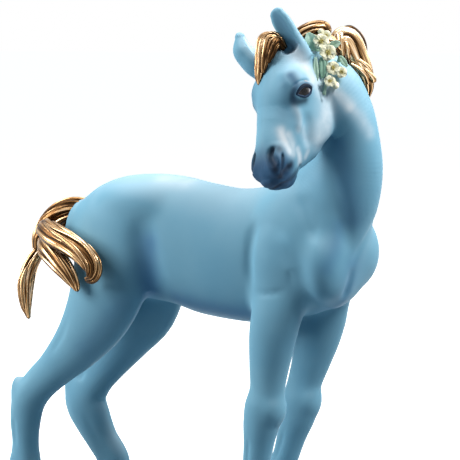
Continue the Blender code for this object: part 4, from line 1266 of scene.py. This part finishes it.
# ---------------------------------------------------------------- the spray
FLOWER_FACE = (0.55, -0.80, 0.22)
FLOWERS = [
    ("flower_top", (95.5, -30.0, 341.6), 5.6, 10),
    ("flower_middle", (101.0, -31.0, 334.2), 6.0, 40),
    ("flower_lower", (105.2, -31.5, 324.1), 4.8, 0),
    ("flower_outer", (110.2, -28.8, 321.3), 4.0, 30),
    ("flower_small", (105.4, -36.4, 315.5), 4.0, 20),
    ("flower_back", (95.0, -22.0, 345.6), 3.8, 50),
]
LEAVES = [
    ("leaf_broad", (0.45, -0.85, 0.3), [
        (93, -27, 336, 1.5), (90, -29.5, 339.5, 4.6), (88, -31, 343.5, 4.4), (86.5, -31.5, 347.5, 1.2)]),
    ("leaf_oval", (0.45, -0.85, 0.3), [
        (94.5, -19.5, 332.5, 1.2), (97, -22.5, 337, 1.4), (100, -23, 338.6, 2.7), (103, -22.5, 340, 2.7),
        (105.5, -21.5, 341, 0.9)]),
    ("leaf_dark", (0.5, -0.85, 0), [
        (97.5, -33, 331, 1.2), (99, -34.5, 327, 2.4), (99.8, -35.5, 322, 2.3), (99.5, -36, 317.5, 0.8)]),
    ("leaf_long", (0.4, -0.9, 0), [
        (94.5, -36, 331, 0.9), (95.4, -37.5, 325, 1.9), (96.2, -38.5, 319, 2), (97, -39, 313, 0.7)]),
    ("leaf_tip", (0.6, -0.8, 0.1), [
        (102.5, -19, 327, 1), (106, -22.5, 331, 1.4), (108.6, -22.5, 328, 2.1), (111, -22, 325, 0.8)]),
]
BUDS = [
    ("bud_outer", [(105.5, -29.5, 314.5, 1.2), (108, -33, 312.8, 2.4), (109.4, -34.6, 311.6, 1.6)]),
    ("bud_upper", [(90.5, -19.2, 345.9, 1), (91.3, -22.4, 348.2, 2.1), (91.6, -23.7, 349.4, 1.3)]),
]
LEAF_SHADE = 0.1
DARK_LEAVES = {"leaf_dark": 0.9, "leaf_tip": 0.5}
STEM = [(99, -31.5, 333), (102, -33, 325), (102.3, -35.5, 315), (101.5, -37, 306.5)]
STEM_RADIUS = 0.9
PETALS = 5
STAMENS = 9
LEAF_THICKNESS = 1.2


def ring_tree(material):
    """Geometry nodes that set copies of a shape round an axis, each leaning a little differently."""
    tree = bpy.data.node_groups.new("around_an_axis", "GeometryNodeTree")
    sockets = {}
    for name, kind in (("Geometry", "Geometry"), ("Count", "Int"), ("Lean", "Float"),
                       ("Unevenness", "Float"), ("Seed", "Int")):
        socket = tree.interface.new_socket(name, in_out="INPUT", socket_type="NodeSocket" + kind)
        sockets[name] = socket.identifier
    tree.interface.new_socket("Geometry", in_out="OUTPUT", socket_type="NodeSocketGeometry")
    given = tree.nodes.new("NodeGroupInput")
    wire = {out.name: Wire(tree, out) for out in given.outputs if out.name}
    w = wire["Geometry"]
    line = w.make("GeometryNodeMeshLine", None, {"Count": wire["Count"], "Offset": (0, 0, 0)})
    index = w.make("GeometryNodeInputIndex")
    uneven = w.make("FunctionNodeRandomValue", {"data_type": "FLOAT"},
                    {2: wire["Unevenness"] * -1, 3: wire["Unevenness"], "Seed": wire["Seed"]}, 1)
    azimuth = index * math.tau / wire["Count"] + uneven * 0.6
    spin = w.make("ShaderNodeCombineXYZ", None, {0: 0.0, 1: wire["Lean"] + uneven, 2: azimuth})
    turned = w.make("FunctionNodeEulerToRotation", None, {0: spin})
    copies = w.make("GeometryNodeInstanceOnPoints", None,
                    {"Points": line, "Instance": wire["Geometry"], "Rotation": turned})
    real = w.make("GeometryNodeRealizeInstances", None, {"Geometry": copies})
    done = w.make("GeometryNodeSetMaterial", None, {"Geometry": real, "Material": material})
    tree.links.new(done.socket, tree.nodes.new("NodeGroupOutput").inputs[0])
    return tree, sockets


def around(obj, tree, sockets, **inputs):
    """Run the ring on an object and keep its result as the object's mesh."""
    modifier = obj.modifiers.new("ring", "NODES")
    modifier.node_group = tree
    for name, value in inputs.items():
        modifier[sockets[name]] = value
    bpy.context.view_layer.update()
    mesh = bpy.data.meshes.new_from_object(obj.evaluated_get(bpy.context.evaluated_depsgraph_get()))
    obj.modifiers.clear()
    obj.data = mesh
    return obj


def petal_mesh(radius, thickness=0.45, rows=12, columns=11):
    """One cupped petal from the heart outwards along +X, closed all round."""
    verts, flags = [], []
    for layer in (1, -1):
        for i in range(rows):
            u = i / (rows - 1)
            half = radius * 0.60 * math.sin(math.pi * min(u * 0.74 + 0.10, 1.0)) ** 0.85
            for j in range(columns):
                v = 2 * j / (columns - 1) - 1
                notch = 0.07 * radius * math.exp(-(v / 0.22) ** 2) * u ** 6
                x = radius * (0.10 + 0.90 * u) - notch - 0.10 * radius * v * v * u
                cup = radius * (0.42 * u - 0.46 * u * u + 0.16 * v * v * (1 - 0.3 * u))
                frill = 0.055 * radius * u ** 3 * math.sin(8 * v + 2)
                edge = 1 - max(abs(v), 2 * u - 1) ** 4
                verts.append((x, half * v, cup + frill + layer * thickness * 0.5 * (0.25 + 0.75 * edge)))
                flags.append(max(0.0, 1 - 3.6 * u) * 0.75)
    return verts, sheet_faces(rows, columns), flags


def taken(bm):
    """The vertices and faces of a bmesh, which is let go."""
    verts = [v.co[:] for v in bm.verts]
    faces = [tuple(v.index for v in face.verts) for face in bm.faces]
    bm.free()
    return verts, faces


def stamen_mesh(radius):
    """A thread that leans outwards with a grain of pollen on its end."""
    bm = bmesh.new()
    bmesh.ops.create_cone(bm, cap_ends=True, segments=6, radius1=0.035 * radius, radius2=0.03 * radius,
                          depth=0.34 * radius, matrix=Matrix.Translation((0, 0, 0.17 * radius)))
    bmesh.ops.create_icosphere(bm, subdivisions=1, radius=0.075 * radius,
                               matrix=Matrix.Translation((0, 0, 0.36 * radius)))
    bmesh.ops.translate(bm, verts=bm.verts, vec=(0.08 * radius, 0, 0.02 * radius))
    verts, faces = taken(bm)
    return verts, faces, [1.0] * len(verts)


def heart_mesh(radius):
    """The heart of a flower on the cone of its calyx."""
    bm = bmesh.new()
    bmesh.ops.create_uvsphere(bm, u_segments=16, v_segments=10, radius=0.17 * radius)
    bmesh.ops.create_cone(bm, cap_ends=True, segments=14, radius1=0.9, radius2=0.30 * radius, depth=4.4,
                          matrix=Matrix.Translation((0, 0, -2.1)))
    verts, faces = taken(bm)
    return verts, faces, [0.9 if z > -0.5 else 0.25 for _, _, z in verts]


def turned_about(face, centre, turn):
    """The matrix that sets a flower down, facing a way and turned so many degrees."""
    basis = Vector(face).normalized().to_track_quat("Z", "Y").to_matrix().to_4x4()
    spot = Matrix.Translation(place(centre))
    return spot @ basis @ Matrix.Rotation(math.radians(turn), 4, "Z") @ Matrix.Scale(MM, 4)


def joined(name, objects):
    """One object of several, in the order given."""
    bm = bmesh.new()
    for obj in objects:
        bm.from_mesh(obj.data)
    mesh = objects[0].data.copy()
    bm.to_mesh(mesh)
    bm.free()
    mesh.name = name
    for obj in objects:
        bpy.data.objects.remove(obj)
    return placed(name, mesh)


def flower(name, centre, radius, turn, seed, tree, sockets):
    parts = []
    for label, shape in (("_petals", petal_mesh), ("_stamens", stamen_mesh), ("_heart", heart_mesh)):
        verts, faces, yellow = shape(radius)
        parts.append(piece(name + label, verts, faces, "petal_paste", {"heart": yellow}))
    petals, stamens, heart = parts
    around(petals, tree, sockets, Count=PETALS, Lean=-0.12, Unevenness=0.13, Seed=seed)
    around(stamens, tree, sockets, Count=STAMENS, Lean=0.35, Unevenness=0.25, Seed=seed + 7)
    whole = joined(name + "_bloom", [petals, stamens, heart])
    whole.data.transform(turned_about(FLOWER_FACE, centre, turn))
    whole.data.shade_smooth()
    fits(whole, "petal_cream", name)


def leaf(name, guide, rows, steps=8, columns=13):
    """A thin blade with a sunk midrib, side veins and a slight wave along its edge."""
    centre, _, front, left, reach = section_frame([(*row, 1, 1) for row in rows], guide, steps)
    count = len(centre)
    verts, veins = [], []
    for layer in (1, -1):
        for k in range(count):
            u = k / (count - 1)
            for j in range(columns):
                v = 2 * j / (columns - 1) - 1
                rib = math.exp(-(v / 0.16) ** 2)
                side_vein = max(0.0, math.cos(math.tau * (5 * u - 1.1 * abs(v)))) ** 4 * (1 - rib)
                wave = 0.10 * reach[k, 0] * math.sin(6 * u + 2.5 * v) * abs(v)
                fold = 0.22 * reach[k, 0] * abs(v)
                thick = 0.5 * LEAF_THICKNESS * (1 - 0.75 * abs(v) ** 3)
                lift = wave + fold - 0.18 * rib * (layer > 0) - 0.05 * side_vein * (layer > 0)
                spot = centre[k] + left[k] * reach[k, 0] * v + front[k] * (lift + layer * thick)
                verts.append(spot)
                veins.append(min(1.0, 0.7 * rib + 0.3 * side_vein))
    flags = {"vein": veins, "shade": [DARK_LEAVES.get(name, LEAF_SHADE)] * len(verts)}
    blade = piece(name + "_blade", place(verts), sheet_faces(count, columns), "leaf_paste", flags)
    fits(closed_right(blade), "leaf_green", name)


BUD_SIDES = 30
STEM_SIDES = 20


def ring(centre, left, front, spread, turn):
    return centre + np.outer(spread * np.cos(turn), left) + np.outer(spread * np.sin(turn), front)


def bud(name, rows):
    """A closed bud whose petals wrap round it."""
    full = [(*row, row[3], row[3]) for row in rows]
    centre, along, front, left, reach = section_frame(full, (0.5, -0.85, 0), 8)
    turn = np.arange(BUD_SIDES) * math.tau / BUD_SIDES
    rings = []
    for k in range(len(centre)):
        wrap = 0.94 + 0.10 * np.abs(np.sin(1.5 * turn + 2.5 * k / len(centre)))
        rings.append(ring(centre[k], left[k], front[k], reach[k, 0] * wrap, turn))
    verts = np.vstack([*rings, centre[:1], centre[-1:] + along[-1:] * reach[-1, 0] * 0.9])
    fits(piece(name + "_petals", place(verts), tube_faces(len(centre), BUD_SIDES), "petal_paste",
               {"heart": np.linspace(0.5, 0, len(verts))}), "petal_cream", name)


def stem():
    """The stalk, ribbed and a little wider at its cut end."""
    rows = [(*p, STEM_RADIUS, STEM_RADIUS, STEM_RADIUS) for p in STEM]
    centre, _, front, left, reach = section_frame(rows, FLOWER_FACE, 14)
    turn = np.arange(STEM_SIDES) * math.tau / STEM_SIDES
    run = np.linspace(0, 1, len(centre))
    rings = []
    for k in range(len(centre)):
        flare = 1 + 0.45 * max(0.0, run[k] - 0.8) / 0.2
        spread = reach[k, 0] * flare * (1 + 0.05 * np.cos(5 * turn))
        rings.append(ring(centre[k], left[k], front[k], spread, turn))
    verts = np.vstack([*rings, centre[:1], centre[-1:]])
    vein = np.append(np.repeat(0.25 * (1 - run), STEM_SIDES), (0, 0))
    stalk = piece("main_stem_stalk", place(verts), tube_faces(len(centre), STEM_SIDES), "leaf_paste",
                  {"vein": vein})
    fits(stalk, "leaf_green", "main_stem")


def spray():
    tree, sockets = ring_tree(FINISHES["petal_paste"])
    for seed, (name, centre, radius, turn) in enumerate(FLOWERS):
        flower(name, centre, radius, turn, seed, tree, sockets)
    for name, guide, rows in LEAVES:
        leaf(name, guide, rows)
    for name, rows in BUDS:
        bud(name, rows)
    stem()


# ---------------------------------------------------------------- studio
FLOOR = (0.14, 0.18, 0.22)               # as the figurine is lit by it, and as the camera sees it
FLOOR_SEEN = (0.86, 0.86, 0.86)
SKY = (0.45, 0.76, 1.0)
SKY_SEEN = (1.0, 1.0, 1.0)


def view_axes():
    """Rightwards, upwards and towards the camera, as the photograph sees the figurine."""
    right = np.array((math.cos(VIEW_TURN), math.sin(VIEW_TURN), 0))
    level = math.cos(VIEW_RISE)
    toward = np.array((math.sin(VIEW_TURN) * level, -math.cos(VIEW_TURN) * level, math.sin(VIEW_RISE)))
    return right, np.cross(toward, right), toward


def aimed(obj, spot, at):
    obj.location = Vector(spot)
    obj.rotation_euler = (Vector(at) - Vector(spot)).to_track_quat("-Z", "Y").to_euler()


def camera():
    data = bpy.data.cameras.new("camera")
    data.sensor_width = SENSOR
    data.lens = SENSOR * VIEW_DISTANCE / (PHOTO * PIXEL)
    data.clip_end = 100
    obj = placed("camera", data)
    target = place(VIEW_TARGET)
    aimed(obj, target + view_axes()[2] * VIEW_DISTANCE * MM, target)
    bpy.context.scene.camera = obj


def soft_box(name, sideways, upwards, forwards, size, power):
    """A square lamp placed about the figurine as the camera sees it, in metres."""
    data = bpy.data.lights.new(name, "AREA")
    data.shape = "SQUARE"
    data.size = size
    data.energy = power
    right, up, toward = view_axes()
    target = place(VIEW_TARGET)
    aimed(placed(name, data), target + right * sideways + up * upwards + toward * forwards, target)


def seen_by_camera(wire):
    """1 on camera, mirror and glass rays."""
    on_camera, on_mirror, on_glass = (wire.make("ShaderNodeLightPath", None, None, "Is %s Ray" % kind)
                                      for kind in ("Camera", "Glossy", "Transmission"))
    return (on_camera + on_mirror + on_glass).clamp()


def bare(owner):
    """The emptied node tree of a material or world."""
    owner.use_nodes = True
    owner.node_tree.nodes.clear()
    return Wire(owner.node_tree)


def studio():
    """A pale floor that looks white on camera, a sky and four soft boxes."""
    floor_mesh = bpy.data.meshes.new("floor")
    bm = bmesh.new()
    bmesh.ops.create_grid(bm, x_segments=1, y_segments=1, size=30)
    bm.to_mesh(floor_mesh)
    bm.free()
    material = bpy.data.materials.new("pale_floor")
    wire = bare(material)
    seen = seen_by_camera(wire)
    matt = wire.make("ShaderNodeBsdfDiffuse", None, {"Color": seen.blend(FLOOR, FLOOR_SEEN)})
    lift = wire.make("ShaderNodeEmission", None, {"Color": (1, 1, 1, 1), "Strength": seen * 0.95})
    both = wire.make("ShaderNodeAddShader", None, {0: matt, 1: lift})
    wire.make("ShaderNodeOutputMaterial", None, {"Surface": both})
    floor_mesh.materials.append(material)
    placed("floor", floor_mesh)

    world = bpy.data.worlds.new("studio")
    bpy.context.scene.world = world
    wire = bare(world)
    seen = seen_by_camera(wire)
    sky = wire.make("ShaderNodeBackground", None, {"Color": seen.blend(SKY, SKY_SEEN),
                                                   "Strength": 0.10 + 0.90 * seen})
    wire.make("ShaderNodeOutputWorld", None, {"Surface": sky})

    soft_box("left_soft_box", -1.5, 0.75, 0.15, 1.0, 33)
    soft_box("key_soft_box", 0.55, 0.60, 0.36, 0.35, 8.0)
    soft_box("right_soft_box", 1.3, 0.9, -0.6, 1.0, 12)
    soft_box("top_soft_box", -0.1, 1.7, -0.4, 1.2, 18)


def make():
    bpy.context.scene.view_settings.view_transform = "Standard"
    camera()
    finish("bisque", bisque, Specular_IOR_Level=0.10)
    finish("gilt", gilt, Metallic=1.0)
    finish("petal_paste", petal_paste, Specular_IOR_Level=0.25)
    finish("leaf_paste", leaf_paste, Specular_IOR_Level=0.25)
    casting()
    eyes()
    hair()
    spray()
    studio()


make()
